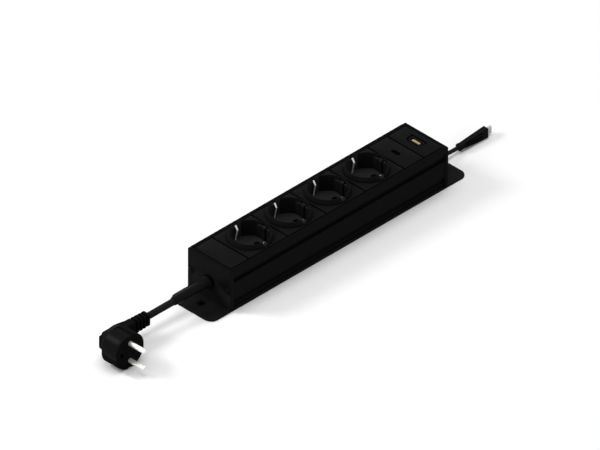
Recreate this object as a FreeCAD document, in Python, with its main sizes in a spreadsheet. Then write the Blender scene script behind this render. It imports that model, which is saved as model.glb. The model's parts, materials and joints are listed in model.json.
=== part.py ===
"""In-desk power module: an extruded housing with four earthed sockets, a charging port and a data port.

Frame: +X runs along the housing from the mains lead's end to the data lead's end, +Z is up, and -Y is the
long side that faces the viewer. The origin is the centre of the base plate's underside. Sizes are in
millimetres.
"""
import FreeCAD, Part
import math
import operator
import os
import sys
from types import SimpleNamespace

import Sketcher

SOCKETS = 4

SIZES = {
    # Base plate, a steel strip that ends in a fixing tab beyond each cap
    "plate_length": 330.0,
    "plate_width": 55.6,
    "plate_thickness": 2.0,
    "plate_corner": 8.0,
    "tab_hole_end": 14.8,
    "tab_hole_bore": 4.6,
    "tab_hole_sink": 8.0,
    "sink_angle": 90.0,
    # Lengths of the stations along the housing
    "cap_thickness": 3.8,
    "end_insert": 23.7,
    "socket_pitch": 50.0,
    "charger_insert": 25.0,
    # Housing profile: recesses go in from the side, depths down from the top and rises up from its foot
    "profile_height": 42.5,
    "lip_width": 3.65,
    "lip_depth": 5.1,
    "side_step": 1.2,
    "groove_recess": 4.2,
    "high_groove_top": 9.2,
    "high_groove_end": 14.6,
    "panel_recess": 0.9,
    "panel_end_rise": 10.6,
    "low_groove_top_rise": 8.7,
    "low_groove_end_rise": 4.1,
    "foot_recess": 3.0,
    "wall_recess": 6.0,
    "floor_wall": 2.0,
    "snap_top": 5.8,
    "snap_height": 1.6,
    "snap_reach": 0.6,
    "fit_gap": 0.2,
    # Cap screws and the channels that they are driven into
    "channel_recess": 3.75,
    "channel_height": 21.5,
    "cap_screw_shank": 2.9,
    "cap_screw_length": 16.0,
    "cap_screw_head": 6.6,
    "cap_screw_rise": 2.0,
    "screw_clearance": 0.5,
    "counterbore_depth": 1.2,
    "cap_edge": 0.8,
    "ear_depth": 4.0,
    "ear_inner": 13.0,
    "ear_top_depth": 14.5,
    # Screws under the base plate
    "plate_screw_along": 95.0,
    "plate_screw_across": 18.9,
    "plate_screw_shank": 3.0,
    "plate_screw_head": 5.8,
    "plate_screw_length": 6.0,
    "driver_slot_width": 0.8,
    "driver_slot_depth": 1.0,
    # Inserts
    "insert_plate": 2.5,
    "insert_edge": 0.4,
    "joint_gap": 0.15,
    "skirt_depth": 8.2,
    "skirt_wall": 1.6,
    # Socket: a raised collar round a flat-sided recess
    "recess_radius": 19.5,
    "recess_flat": 17.3,
    "recess_floor": 12.4,
    "recess_wall": 1.5,
    "recess_base": 2.0,
    "collar_rise": 5.1,
    "collar_foot_radius": 21.6,
    "collar_foot_height": 1.3,
    "collar_rim_radius": 20.4,
    "collar_rim_edge": 0.7,
    "flat_top_drop": 4.1,
    "rib_half_width": 2.4,
    "rib_rise": 0.7,
    "rib_root": 0.2,
    "rib_top_drop": 3.3,
    "notch_half_width": 3.4,
    "notch_inner": 17.0,
    "notch_floor": 0.6,
    "pin_spacing": 19.0,
    "pin_hole": 5.6,
    # Earth bracket: one bent strip with a spring clip at each end
    "strip_width": 2.8,
    "strip_thickness": 0.8,
    "strip_bend": 0.8,
    "clip_reach": 18.4,
    "clip_bulge": 16.1,
    "clip_bulge_drop": 0.9,
    "clip_knee_rise": 1.8,
    "clip_tip_reach": 18.6,
    "clip_tip_rise": 3.3,
    # Live and neutral contacts and the busbars that feed them
    "fork_gap": 5.0,
    "fork_wall": 0.6,
    "fork_headroom": 3.1,
    "fork_width": 6.0,
    "fork_flare": 0.8,
    "bar_across": 12.5,
    "bar_width": 5.0,
    "bar_thickness": 0.6,
    "bar_height": 11.0,
    "earth_bar_across": 9.0,
    "earth_bar_width": 4.0,
    "bar_lead": 0.5,
    # Contact carrier, a moulded tray on the profile's floor
    "carrier_half_width": 16.6,
    "carrier_base": 2.0,
    "carrier_lip": 0.8,
    # Charger behind the small port
    "slot_length": 9.5,
    "slot_width": 3.9,
    "shell_length": 8.9,
    "shell_width": 3.3,
    "shell_wall": 0.35,
    "shell_depth": 7.3,
    "tongue_length": 6.7,
    "tongue_thickness": 0.8,
    "tongue_drop": 1.2,
    "shell_back": 1.0,
    "board_thickness": 1.6,
    "board_half_width": 16.0,
    "board_headroom": 1.5,
    "transformer_long": 15.0,
    "transformer_deep": 11.0,
    "transformer_high": 13.0,
    "capacitor_width": 8.0,
    "capacitor_high": 14.0,
    # Data port
    "data_port_shift": 1.6,
    "data_frame_long": 19.4,
    "data_frame_wide": 10.7,
    "data_frame_clip": 3.0,
    "data_frame_depth": 0.9,
    "data_shell_long": 15.4,
    "data_shell_wide": 6.4,
    "data_shell_clip": 1.9,
    "data_shell_wall": 0.5,
    "data_shell_depth": 11.0,
    "data_shell_back": 1.5,
    "data_tongue_long": 10.4,
    "data_tongue_wide": 2.5,
    "data_tongue_drop": 0.9,
    "data_contact_rise": 0.35,
    "data_contact_width": 0.85,
    "data_board_half_width": 14.0,
    # Mains cord, its gland and its clamp
    "cord_height": 21.6,
    "cord_diameter": 6.8,
    "cord_drift": 3.3,
    "gland_flange": 13.4,
    "gland_flange_depth": 4.0,
    "gland_neck": 11.0,
    "gland_lip": 13.2,
    "gland_lip_depth": 1.8,
    "sleeve_root": 9.0,
    "sleeve_tip": 8.2,
    "sleeve_length": 40.5,
    "clamp_inset": 6.0,
    "clamp_length": 8.0,
    "clamp_width": 21.0,
    "clamp_gap": 0.4,
    "clamp_strap": 6.2,
    "clamp_screw_across": 7.4,
    "clamp_screw_length": 11.0,
    "clamp_screw_head": 5.2,
    "inner_cord_length": 19.0,
    "wire_diameter": 2.3,
    "live_spread": 1.5,
    "live_drop": 0.9,
    "earth_lift": 1.7,
    # Angled plug: its face looks along -Y and the cord leaves along +X
    "plug_along": 126.5,
    "plug_forward": 28.0,
    "plug_radius": 18.3,
    "boss_depth": 18.5,
    "plug_shoulder": 0.3,
    "plug_shoulder_corner": 17.0,
    "plug_back": 32.2,
    "plug_back_shift": 5.0,
    "plug_back_half_width": 9.75,
    "plug_back_half_height": 8.0,
    "plug_back_corner": 2.4,
    "plug_sleeve_end": 77.2,
    "plug_sleeve_across": -0.6,
    "plug_sleeve_drop": 0.6,
    "plug_sleeve_start": -8.0,
    "plug_sleeve_start_width": 4.4,
    "plug_sleeve_start_height": 7.0,
    "plug_sleeve_bulge": 11.0,
    "plug_sleeve_bulge_width": 5.6,
    "plug_sleeve_bulge_height": 9.0,
    "plug_sleeve_waist": 24.8,
    "plug_sleeve_waist_width": 4.75,
    "plug_sleeve_waist_height": 7.4,
    "plug_sleeve_half_width": 4.7,
    "plug_sleeve_half_height": 6.3,
    "plug_sleeve_corner": 1.8,
    "sleeve_ribs": 4.0,
    "sleeve_rib_pitch": 4.4,
    "sleeve_rib_gap": 2.2,
    "sleeve_rib_depth": 0.9,
    "pin_radius": 2.4,
    "pin_length": 19.0,
    "pin_edge": 0.8,
    "guide_width": 5.4,
    "guide_depth": 1.4,
    "earth_hole": 4.8,
    "earth_hole_offset": 10.0,
    "earth_hole_depth": 14.0,
    "strip_seat_width": 6.0,
    "strip_seat_depth": 1.4,
    "plug_strip_width": 5.2,
    "plug_strip_thickness": 0.9,
    # Data lead
    "data_cord_height": 10.8,
    "data_cord_diameter": 4.0,
    "bush_flange": 8.8,
    "bush_flange_depth": 1.5,
    "bush_neck": 6.6,
    "bush_lip_depth": 1.2,
    "bush_edge": 0.5,
    "data_lead_reach": 43.9,
    "data_lead_drift": 4.4,
    "data_lead_knee": 13.0,
    "data_lead_end": 10.5,
    "data_plug_length": 36.4,
    "data_plug_rear_width": 6.0,
    "data_plug_rear_height": 5.6,
    "data_plug_front_width": 6.6,
    "data_plug_front_height": 10.8,
    "data_plug_edge": 1.2,
    "tip_width": 2.6,
    "tip_height": 8.4,
    "tip_wall": 0.35,
    "tip_length": 5.8,
    "tip_back": 1.0,
    # How far a cutter runs on past the surface that it cuts
    "cutter_excess": 1.0,
}

DATA_CONTACTS = 9
# A pan head's profile from its crown outwards, and its driver slot, as shares of its radius and its rise
PAN_HEAD = ((0.55, 1.0), (0.86, 0.7), (1.0, 0.3))
DRIVER_REACH = 0.55
# How much of a run's length a tangent arc may take at each of its ends
RUN_SHARE = 0.45
TOLERANCE = 1e-4

DOC = FreeCAD.newDocument("power_module")
NODES = []


class Size:
    """A length driven by the sheet: its expression for the document and its present value."""

    def __init__(self, text, value):
        self.text = text
        self.value = value

    def __float__(self):
        return self.value

    def __add__(self, other):
        return combine(self, "+", other)

    def __radd__(self, other):
        return combine(other, "+", self)

    def __sub__(self, other):
        return combine(self, "-", other)

    def __rsub__(self, other):
        return combine(other, "-", self)

    def __mul__(self, other):
        return combine(self, "*", other)

    def __rmul__(self, other):
        return combine(other, "*", self)

    def __truediv__(self, other):
        return combine(self, "/", other)

    def __neg__(self):
        return combine(0.0, "-", self)


OPERATIONS = {"+": operator.add, "-": operator.sub, "*": operator.mul, "/": operator.truediv}


def sized(number):
    """A plain number as a Size, and a Size as it is."""
    return number if isinstance(number, Size) else Size(f"({float(number)})", float(number))


def combine(left, sign, right):
    """Joins two sizes by one of the four operations, in the expression and in the value alike."""
    left, right = sized(left), sized(right)
    return Size(f"({left.text} {sign} {right.text})", OPERATIONS[sign](left.value, right.value))


def make_sheet():
    """Writes the driving sizes to the spreadsheet and gives them back as Size objects by name."""
    sheet = DOC.addObject("Spreadsheet::Sheet", "sizes")
    for row, (alias, value) in enumerate(SIZES.items(), 1):
        sheet.set(f"A{row}", alias)
        sheet.set(f"B{row}", str(value))
        sheet.setAlias(f"B{row}", alias)
    DOC.recompute()
    return SimpleNamespace(**{alias: Size(f"sizes.{alias}", float(sheet.get(alias))) for alias in SIZES})


S = make_sheet()

# Heights above the underside
PLATE_TOP = S.plate_thickness
TOP = S.plate_thickness + S.profile_height
CAVITY_FLOOR = PLATE_TOP + S.floor_wall
CARRIER_TOP = CAVITY_FLOOR + S.carrier_base
RECESS_FLOOR = TOP - S.recess_floor
RECESS_UNDERSIDE = RECESS_FLOOR - S.recess_base
RIM = TOP + S.collar_rise
BAR_TOP = S.bar_height + S.bar_thickness
BOARD_TOP = TOP - S.insert_plate - S.board_headroom

# Distances out from the centre plane
HALF_WIDTH = S.plate_width / 2
REBATE = HALF_WIDTH - S.lip_width
INNER_WALL = HALF_WIDTH - S.wall_recess
CHANNEL_OUT = HALF_WIDTH - S.channel_recess

# Places along the housing
PROFILE_LENGTH = 2 * S.end_insert + SOCKETS * S.socket_pitch + S.charger_insert
HALF_PROFILE = PROFILE_LENGTH / 2
CAP_FACE = HALF_PROFILE + S.cap_thickness
FIRST_SOCKET = S.end_insert - HALF_PROFILE + S.socket_pitch / 2
LAST_SOCKET = FIRST_SOCKET + (SOCKETS - 1) * S.socket_pitch
CHARGER_CENTRE = LAST_SOCKET + S.socket_pitch / 2 + S.charger_insert / 2
DATA_CENTRE = HALF_PROFILE - S.end_insert / 2
DATA_PORT = DATA_CENTRE + S.data_port_shift
BARS_START = S.end_insert - HALF_PROFILE - S.bar_lead
CHARGER_BOARD = CHARGER_CENTRE + S.shell_width / 2
DATA_BOARD = DATA_PORT - S.data_shell_wide / 2 - S.board_thickness


def bind(item, name, size):
    """Ties a property of a document object to the sheet."""
    item.setExpression(name, sized(size).text)


def place(item, along=0, across=0, up=0, turn=None):
    """Puts an object at a place that follows the sheet, turned by a fixed rotation where one is given."""
    if turn is not None:
        item.Placement = FreeCAD.Placement(FreeCAD.Vector(), turn)
    for axis, size in (("x", along), ("y", across), ("z", up)):
        bind(item, f"Placement.Base.{axis}", size)


def node(item, label):
    """Names a sub-part and lists it for writing."""
    item.Label = label
    NODES.append(item)
    return item


def new_body():
    """An empty PartDesign body."""
    return DOC.addObject("PartDesign::Body", "body")


def new_sketch(body, plane, lift=0):
    """A sketch on one of its own body's origin planes, lifted along that plane's normal."""
    sketch = body.newObject("Sketcher::SketchObject", "sketch")
    support = next(item for item in body.Origin.OriginFeatures if item.Role == plane)
    sketch.AttachmentSupport = [(support, "")]
    sketch.MapMode = "FlatFace"
    bind(sketch, "AttachmentOffset.Base.z", lift)
    return sketch


def hold(sketch, points):
    """Fixes sketch points, given as (geometry, point, across, up), by their distances from the origin."""
    first = sketch.ConstraintCount
    constraints = []
    texts = []
    for item, point, across, up in points:
        for kind, size in (("DistanceX", sized(across)), ("DistanceY", sized(up))):
            constraints.append(Sketcher.Constraint(kind, -1, 1, item, point, size.value))
            texts.append(size.text)
    sketch.addConstraint(constraints)
    for number, text in enumerate(texts, first):
        sketch.setExpression(f"Constraints[{number}]", text)


def polygon(sketch, points):
    """Draws a closed line through the points."""
    start = sketch.GeometryCount
    count = len(points)
    corners = [FreeCAD.Vector(float(across), float(up), 0) for across, up in points]
    lines = [Part.LineSegment(here, there) for here, there in zip(corners, corners[1:] + corners[:1])]
    sketch.addGeometry(lines, False)
    joins = [
        Sketcher.Constraint("Coincident", start + (index - 1) % count, 2, start + index, 1)
        for index in range(count)
    ]
    sketch.addConstraint(joins)
    hold(sketch, [(start + index, 1, across, up) for index, (across, up) in enumerate(points)])


def rectangle(sketch, left, right, low, high):
    """Draws a rectangle between two pairs of edges."""
    polygon(sketch, [(left, low), (right, low), (right, high), (left, high)])


def circle(sketch, across, up, radius):
    """Draws a circle."""
    item = sketch.GeometryCount
    centre = FreeCAD.Vector(float(across), float(up), 0)
    sketch.addGeometry(Part.Circle(centre, FreeCAD.Vector(0, 0, 1), float(radius)), False)
    hold(sketch, [(item, 3, across, up)])
    number = sketch.addConstraint(Sketcher.Constraint("Radius", item, float(radius)))
    sketch.setExpression(f"Constraints[{number}]", sized(radius).text)


def arcs_and_lines(sketch, arcs, radius):
    """Joins arcs of one radius, each (across, up, start, end), by tangent lines into a closed outline."""
    first = sketch.GeometryCount
    count = len(arcs)
    r = float(radius)
    curves = []
    for across, up, start, end in arcs:
        centre = FreeCAD.Vector(float(across), float(up), 0)
        curves.append(Part.ArcOfCircle(Part.Circle(centre, FreeCAD.Vector(0, 0, 1), r), start, end))
    for here, there in zip(curves, curves[1:] + curves[:1]):
        sketch.addGeometry([here, Part.LineSegment(here.EndPoint, there.StartPoint)], False)
    joins = []
    for index in range(count):
        arc = first + 2 * index
        following = first + 2 * ((index + 1) % count)
        joins.append(Sketcher.Constraint("Tangent", arc, 2, arc + 1, 1))
        joins.append(Sketcher.Constraint("Tangent", arc + 1, 2, following, 1))
    sketch.addConstraint(joins)
    hold(sketch, [(first + 2 * index, 3, arc[0], arc[1]) for index, arc in enumerate(arcs)])
    for index in range(count):
        number = sketch.addConstraint(Sketcher.Constraint("Radius", first + 2 * index, r))
        sketch.setExpression(f"Constraints[{number}]", sized(radius).text)


def rounded_rectangle(sketch, half_width, half_height, radius, across=0, up=0):
    """Draws a rectangle with round corners about a centre."""
    x, y = half_width - radius, half_height - radius
    quarter = math.pi / 2
    arcs = []
    for turn, (right, high) in enumerate(((1, 1), (-1, 1), (-1, -1), (1, -1))):
        arcs.append((across + right * x, up + high * y, turn * quarter, (turn + 1) * quarter))
    arcs_and_lines(sketch, arcs, radius)


def stadium(sketch, width, length):
    """Draws an oblong with round ends, long along the sketch's vertical."""
    radius = width / 2
    reach = length / 2 - radius
    arcs_and_lines(sketch, [(0, reach, 0, math.pi), (0, -reach, math.pi, 2 * math.pi)], radius)


def mirrored(half):
    """A right half outline, listed from the centre outwards and back, joined to its mirror image."""
    return half + [(-across, up) for across, up in reversed(half)]


def sweep_feature(body, kind, sketch, length, symmetric=False, backwards=False):
    """A pad or a pocket of one length, or cut right through where the length is None."""
    feature = body.newObject(f"PartDesign::{kind}", kind.lower())
    feature.Profile = sketch
    feature.SideType = "Symmetric" if symmetric else "One side"
    feature.Reversed = backwards
    if length is None:
        feature.Type = "ThroughAll"
    else:
        bind(feature, "Length", length)
    return feature


def pad(body, sketch, length, **options):
    """Adds a pad to the body."""
    return sweep_feature(body, "Pad", sketch, length, **options)


def pocket(body, sketch, length, **options):
    """Cuts a pocket in the body."""
    return sweep_feature(body, "Pocket", sketch, length, **options)


def revolve(body, sketch, kind="Revolution", axis="V_Axis"):
    """Turns a sketch once round its own axis, to add or to cut."""
    feature = body.newObject(f"PartDesign::{kind}", kind.lower())
    feature.Profile = sketch
    feature.ReferenceAxis = (sketch, [axis])
    feature.Angle = 360.0
    return feature


def loft(body, kind, sketches):
    """Joins sketches by straight rules, to add or to cut."""
    feature = body.newObject(f"PartDesign::{kind}Loft", "loft")
    feature.Profile = sketches[0]
    feature.Sections = sketches[1:]
    feature.Ruled = True
    return feature


def dress(body, kind, base, radius, test):
    """Rounds or chamfers the edges of the last feature that pass the test."""
    DOC.recompute()
    names = [f"Edge{number}" for number, edge in enumerate(base.Shape.Edges, 1) if test(edge)]
    feature = body.newObject(f"PartDesign::{kind}", kind.lower())
    feature.Base = (base, names)
    bind(feature, "Radius" if kind == "Fillet" else "Size", radius)
    return feature


def runs_along(edge, direction):
    """True where an edge is straight and parallel to a direction."""
    if not isinstance(edge.Curve, Part.Line):
        return False
    return abs(abs(edge.Curve.Direction.dot(FreeCAD.Vector(*direction))) - 1) < 1e-6


def at_height(edge, height):
    """True where an edge lies level at a height."""
    box = edge.BoundBox
    return abs(box.ZMin - float(height)) < TOLERANCE and abs(box.ZMax - float(height)) < TOLERANCE


def boolean(kind, *items):
    """A cut, fuse or common of document objects."""
    result = DOC.addObject(f"Part::{kind}", kind.lower())
    if kind in ("Cut", "Common"):
        result.Base, result.Tool = items
    else:
        result.Shapes = list(items)
    return result


def group(label, items):
    """Like pieces that share one node, each still a solid of its own."""
    compound = DOC.addObject("Part::Compound", label)
    compound.Links = items
    return node(compound, label)


def block(left, right, near, far, low, high):
    """A box between three pairs of faces."""
    box = DOC.addObject("Part::Box", "block")
    bind(box, "Length", right - left)
    bind(box, "Width", far - near)
    bind(box, "Height", high - low)
    place(box, left, near, low)
    return box


def route(points):
    """A wire of straight runs joined by tangent arcs, each as large as its two runs allow."""
    corners = [FreeCAD.Vector(*map(float, point)) for point in points]
    edges = []
    here = corners[0]
    for before, corner, after in zip(corners, corners[1:], corners[2:]):
        back = (before - corner).normalize()
        on = (after - corner).normalize()
        reach = RUN_SHARE * min((before - corner).Length, (after - corner).Length)
        start = corner + back * reach
        end = corner + on * reach
        half_turn = (math.pi - back.getAngle(on)) / 2
        radius = reach / math.tan(half_turn)
        middle = corner + (back + on).normalize() * (radius / math.cos(half_turn) - radius)
        edges.append(Part.LineSegment(here, start).toShape())
        edges.append(Part.Arc(start, middle, end).toShape())
        here = end
    edges.append(Part.LineSegment(here, corners[-1]).toShape())
    return Part.Wire(edges)


def sweep(label, points, section):
    """A solid swept along a route; the section is a function of the start point and direction."""
    path = route(points)
    start = path.Edges[0]
    direction = start.tangentAt(start.FirstParameter)
    profile = section(path.Vertexes[0].Point, direction)
    solid = path.makePipeShell([profile], True, True)
    feature = DOC.addObject("Part::Feature", label)
    feature.Shape = solid
    return feature


def tube(label, points, diameter):
    """A round cord along a route; prints its arcs' radii and its volume against length times area."""
    radius = float(diameter) / 2

    def section(point, direction):
        return Part.Wire(Part.makeCircle(radius, point, direction))

    path = route(points)
    radii = [round(edge.Curve.Radius, 1) for edge in path.Edges if isinstance(edge.Curve, Part.Circle)]
    feature = sweep(label, points, section)
    ratio = feature.Shape.Volume / (math.pi * radius**2 * path.Length)
    print(f"{label}: length {path.Length:.1f}, arc radii {radii}, volume ratio {ratio:.4f}")
    return node(feature, label)


def base_plate():
    """The steel strip: rounded corners, a countersunk hole in each tab, four holes for its screws."""
    body = new_body()
    sketch = new_sketch(body, "XY_Plane")
    half = S.plate_length / 2
    rectangle(sketch, -half, half, -HALF_WIDTH, HALF_WIDTH)
    slab = pad(body, sketch, S.plate_thickness)
    dress(body, "Fillet", slab, S.plate_corner, lambda edge: runs_along(edge, (0, 0, 1)))
    centres = new_sketch(body, "XY_Plane", PLATE_TOP)
    for side in (-1, 1):
        circle(centres, side * (half - S.tab_hole_end), 0, S.tab_hole_bore / 2)
    countersunk(body, centres, S.tab_hole_bore, S.tab_hole_sink, False)
    under = new_sketch(body, "XY_Plane")
    for along, across in plate_screw_places():
        circle(under, along, across, S.plate_screw_shank / 2)
    countersunk(body, under, S.plate_screw_shank, S.plate_screw_head, True)
    node(body, "base_plate")


def countersunk(body, sketch, bore, sink, upwards):
    """Countersunk through holes at a sketch's circles, drilled down or up from its plane."""
    DOC.recompute()
    hole = body.newObject("PartDesign::Hole", "hole")
    hole.Profile = sketch
    hole.DepthType = "ThroughAll"
    hole.HoleCutType = "Countersink"
    hole.HoleCutCustomValues = True
    hole.Reversed = upwards
    bind(hole, "Diameter", bore)
    bind(hole, "HoleCutDiameter", sink)
    bind(hole, "HoleCutCountersinkAngle", S.sink_angle)


def plate_screw_places():
    """Where the four screws under the base plate stand."""
    return [
        (along * S.plate_screw_along, across * S.plate_screw_across)
        for along in (-1, 1)
        for across in (-1, 1)
    ]


def housing_profile():
    """The extrusion: an open channel with a lip, a panel between two grooves, and two screw channels."""
    def side(recess, depth):
        return (HALF_WIDTH - recess, TOP - depth)

    def low_side(recess, rise):
        return (HALF_WIDTH - recess, PLATE_TOP + rise)

    outside = [
        side(0, 0),
        side(0, S.lip_depth),
        side(S.side_step, S.lip_depth),
        side(S.side_step, S.high_groove_top),
        side(S.groove_recess, S.high_groove_top),
        side(S.groove_recess, S.high_groove_end),
        side(S.panel_recess, S.high_groove_end),
        low_side(S.panel_recess, S.panel_end_rise),
        low_side(S.foot_recess, S.low_groove_top_rise),
        low_side(S.groove_recess, S.low_groove_top_rise),
        low_side(S.groove_recess, S.low_groove_end_rise),
        low_side(S.foot_recess, S.low_groove_end_rise),
        low_side(S.foot_recess, 0),
    ]
    snap = S.wall_recess - S.snap_reach - S.fit_gap
    inside = [
        (INNER_WALL, CAVITY_FLOOR),
        side(S.wall_recess, S.snap_top + S.snap_height),
        side(snap, S.snap_top + S.snap_height),
        side(snap, S.snap_top),
        side(S.wall_recess, S.snap_top),
        side(S.wall_recess, S.insert_plate),
        side(S.lip_width, S.insert_plate),
        side(S.lip_width, 0),
    ]
    body = new_body()
    section = new_sketch(body, "YZ_Plane")
    polygon(section, mirrored(inside + outside))
    for sign in (-1, 1):
        circle(section, sign * CHANNEL_OUT, S.channel_height, S.cap_screw_shank / 2)
    pad(body, section, PROFILE_LENGTH, symmetric=True)
    holes = new_sketch(body, "XY_Plane", PLATE_TOP)
    for along, across in plate_screw_places():
        circle(holes, along, across, S.plate_screw_shank / 2)
    pocket(body, holes, S.floor_wall, backwards=True)
    node(body, "housing_profile")


def end_cap(label, end, bore, bore_height):
    """An end cap with two locating ears inside, two counterbored screw holes and one hole for its lead."""
    def section(lift):
        return new_sketch(body, "YZ_Plane", end * lift)

    inwards = end > 0
    body = new_body()
    outline = section(CAP_FACE)
    rectangle(outline, -HALF_WIDTH, HALF_WIDTH, PLATE_TOP, TOP)
    wall = pad(body, outline, S.cap_thickness, backwards=inwards)
    face = float(CAP_FACE) * end

    def rounded(edge):
        """The upper long edges and the rim of the outer face, but not the edge on the base plate."""
        box = edge.BoundBox
        if runs_along(edge, (1, 0, 0)):
            return box.ZMin > float(PLATE_TOP) + TOLERANCE
        return abs(edge.CenterOfMass.x - face) < TOLERANCE and box.ZMax > float(PLATE_TOP) + TOLERANCE

    dress(body, "Fillet", wall, S.cap_edge, rounded)
    ears = section(HALF_PROFILE)
    ear_out = INNER_WALL - S.fit_gap
    for near, far in ((-ear_out, -S.ear_inner), (S.ear_inner, ear_out)):
        rectangle(ears, near, far, CAVITY_FLOOR + S.fit_gap, TOP - S.ear_top_depth)
    pad(body, ears, S.ear_depth, backwards=inwards)
    seats = section(CAP_FACE)
    holes = section(CAP_FACE)
    for sign in (-1, 1):
        circle(seats, sign * CHANNEL_OUT, S.channel_height, (S.cap_screw_head + S.screw_clearance) / 2)
        circle(holes, sign * CHANNEL_OUT, S.channel_height, (S.cap_screw_shank + S.screw_clearance) / 2)
    circle(holes, 0, bore_height, bore / 2)
    pocket(body, seats, S.counterbore_depth, backwards=not inwards)
    pocket(body, holes, S.cap_thickness, backwards=not inwards)
    node(body, label)


def screw(shank, head, length, dome=None, driven=False):
    """A screw along Z, head up: domed above Z=0, or countersunk below it; the cross slot is optional."""
    body = new_body()
    outline = new_sketch(body, "XZ_Plane")
    radius = head / 2
    if dome is None:
        crown = 0
        points = [(0, 0), (radius, 0), (shank / 2, shank / 2 - radius)]
    else:
        crown = dome
        points = [(0, dome)] + [(radius * out, dome * rise) for out, rise in PAN_HEAD]
        points += [(radius, 0), (shank / 2, 0)]
    points += [(shank / 2, -length), (0, -length)]
    polygon(outline, points)
    revolve(body, outline)
    if not driven:
        return body
    cross = new_sketch(body, "XY_Plane", crown)
    arm = radius * DRIVER_REACH
    slot = S.driver_slot_width / 2
    quarter = [(slot, -arm), (slot, -slot), (arm, -slot), (arm, slot), (slot, slot), (slot, arm)]
    polygon(cross, mirrored(quarter))
    pocket(body, cross, S.driver_slot_depth)
    return body


def cap_screws(label, end):
    """The two pan-head screws that hold one end cap."""
    turn = FreeCAD.Rotation(FreeCAD.Vector(0, 1, 0), 90 * end)
    pieces = []
    for sign in (-1, 1):
        lengths = (S.cap_screw_length, S.cap_screw_rise)
        piece = screw(S.cap_screw_shank, S.cap_screw_head, *lengths, driven=True)
        place(piece, end * (CAP_FACE - S.counterbore_depth), sign * CHANNEL_OUT, S.channel_height, turn)
        pieces.append(piece)
    group(label, pieces)


def plate_screws():
    """The four countersunk screws that hold the profile down on the base plate."""
    turn = FreeCAD.Rotation(FreeCAD.Vector(1, 0, 0), 180)
    pieces = []
    for along, across in plate_screw_places():
        piece = screw(S.plate_screw_shank, S.plate_screw_head, S.plate_screw_length)
        place(piece, along, across, 0, turn)
        pieces.append(piece)
    group("plate_screws", pieces)


def insert_blank(length):
    """An insert's plate with a snap skirt down each side, chamfered round its top; the centre is at X=0."""
    out = REBATE - S.fit_gap / 2
    skirt = INNER_WALL - S.fit_gap
    snap_low = TOP - S.snap_top - S.snap_height + S.fit_gap
    snap_high = TOP - S.snap_top - S.fit_gap
    half = [
        (skirt - S.skirt_wall, TOP - S.insert_plate),
        (skirt - S.skirt_wall, TOP - S.skirt_depth),
        (skirt, TOP - S.skirt_depth),
        (skirt, snap_low),
        (skirt + S.snap_reach, snap_low + S.snap_reach / 2),
        (skirt + S.snap_reach, snap_high),
        (skirt, snap_high),
        (skirt, TOP - S.insert_plate),
        (out, TOP - S.insert_plate),
        (out, TOP),
    ]
    body = new_body()
    section = new_sketch(body, "YZ_Plane")
    polygon(section, mirrored(half))
    plate = pad(body, section, length - S.joint_gap, symmetric=True)
    dress(body, "Chamfer", plate, S.insert_edge, lambda edge: at_height(edge, TOP))
    return body


def blank_insert():
    """The plain insert over the cord clamp."""
    body = insert_blank(S.end_insert)
    place(body, S.end_insert / 2 - HALF_PROFILE)
    node(body, "blank_insert")


def recess_outline(sketch, radius, flat):
    """A circle cut off by a flat on each side along X."""
    first = sketch.GeometryCount
    reach = math.sqrt(float(radius) ** 2 - float(flat) ** 2)
    angle = math.atan2(reach, float(flat))
    ring = Part.Circle(FreeCAD.Vector(), FreeCAD.Vector(0, 0, 1), float(radius))
    right, left = float(flat), -float(flat)
    sketch.addGeometry(
        [
            Part.ArcOfCircle(ring, angle, math.pi - angle),
            Part.LineSegment(FreeCAD.Vector(left, reach), FreeCAD.Vector(left, -reach)),
            Part.ArcOfCircle(ring, math.pi + angle, 2 * math.pi - angle),
            Part.LineSegment(FreeCAD.Vector(right, -reach), FreeCAD.Vector(right, reach)),
        ],
        False,
    )
    joins = [(0, 2, 1, 1), (1, 2, 2, 1), (2, 2, 3, 1), (3, 2, 0, 1)]
    sketch.addConstraint(
        [Sketcher.Constraint("Coincident", first + a, b, first + c, d) for a, b, c, d in joins]
        + [Sketcher.Constraint("Coincident", first + arc, 3, -1, 1) for arc in (0, 2)]
        + [Sketcher.Constraint("Vertical", first + line) for line in (1, 3)]
    )
    for item in (0, 2):
        number = sketch.addConstraint(Sketcher.Constraint("Radius", first + item, float(radius)))
        sketch.setExpression(f"Constraints[{number}]", radius.text)
    for item, size in ((1, -flat), (3, flat)):
        number = sketch.addConstraint(Sketcher.Constraint("DistanceX", -1, 1, first + item, 1, size.value))
        sketch.setExpression(f"Constraints[{number}]", size.text)


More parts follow.
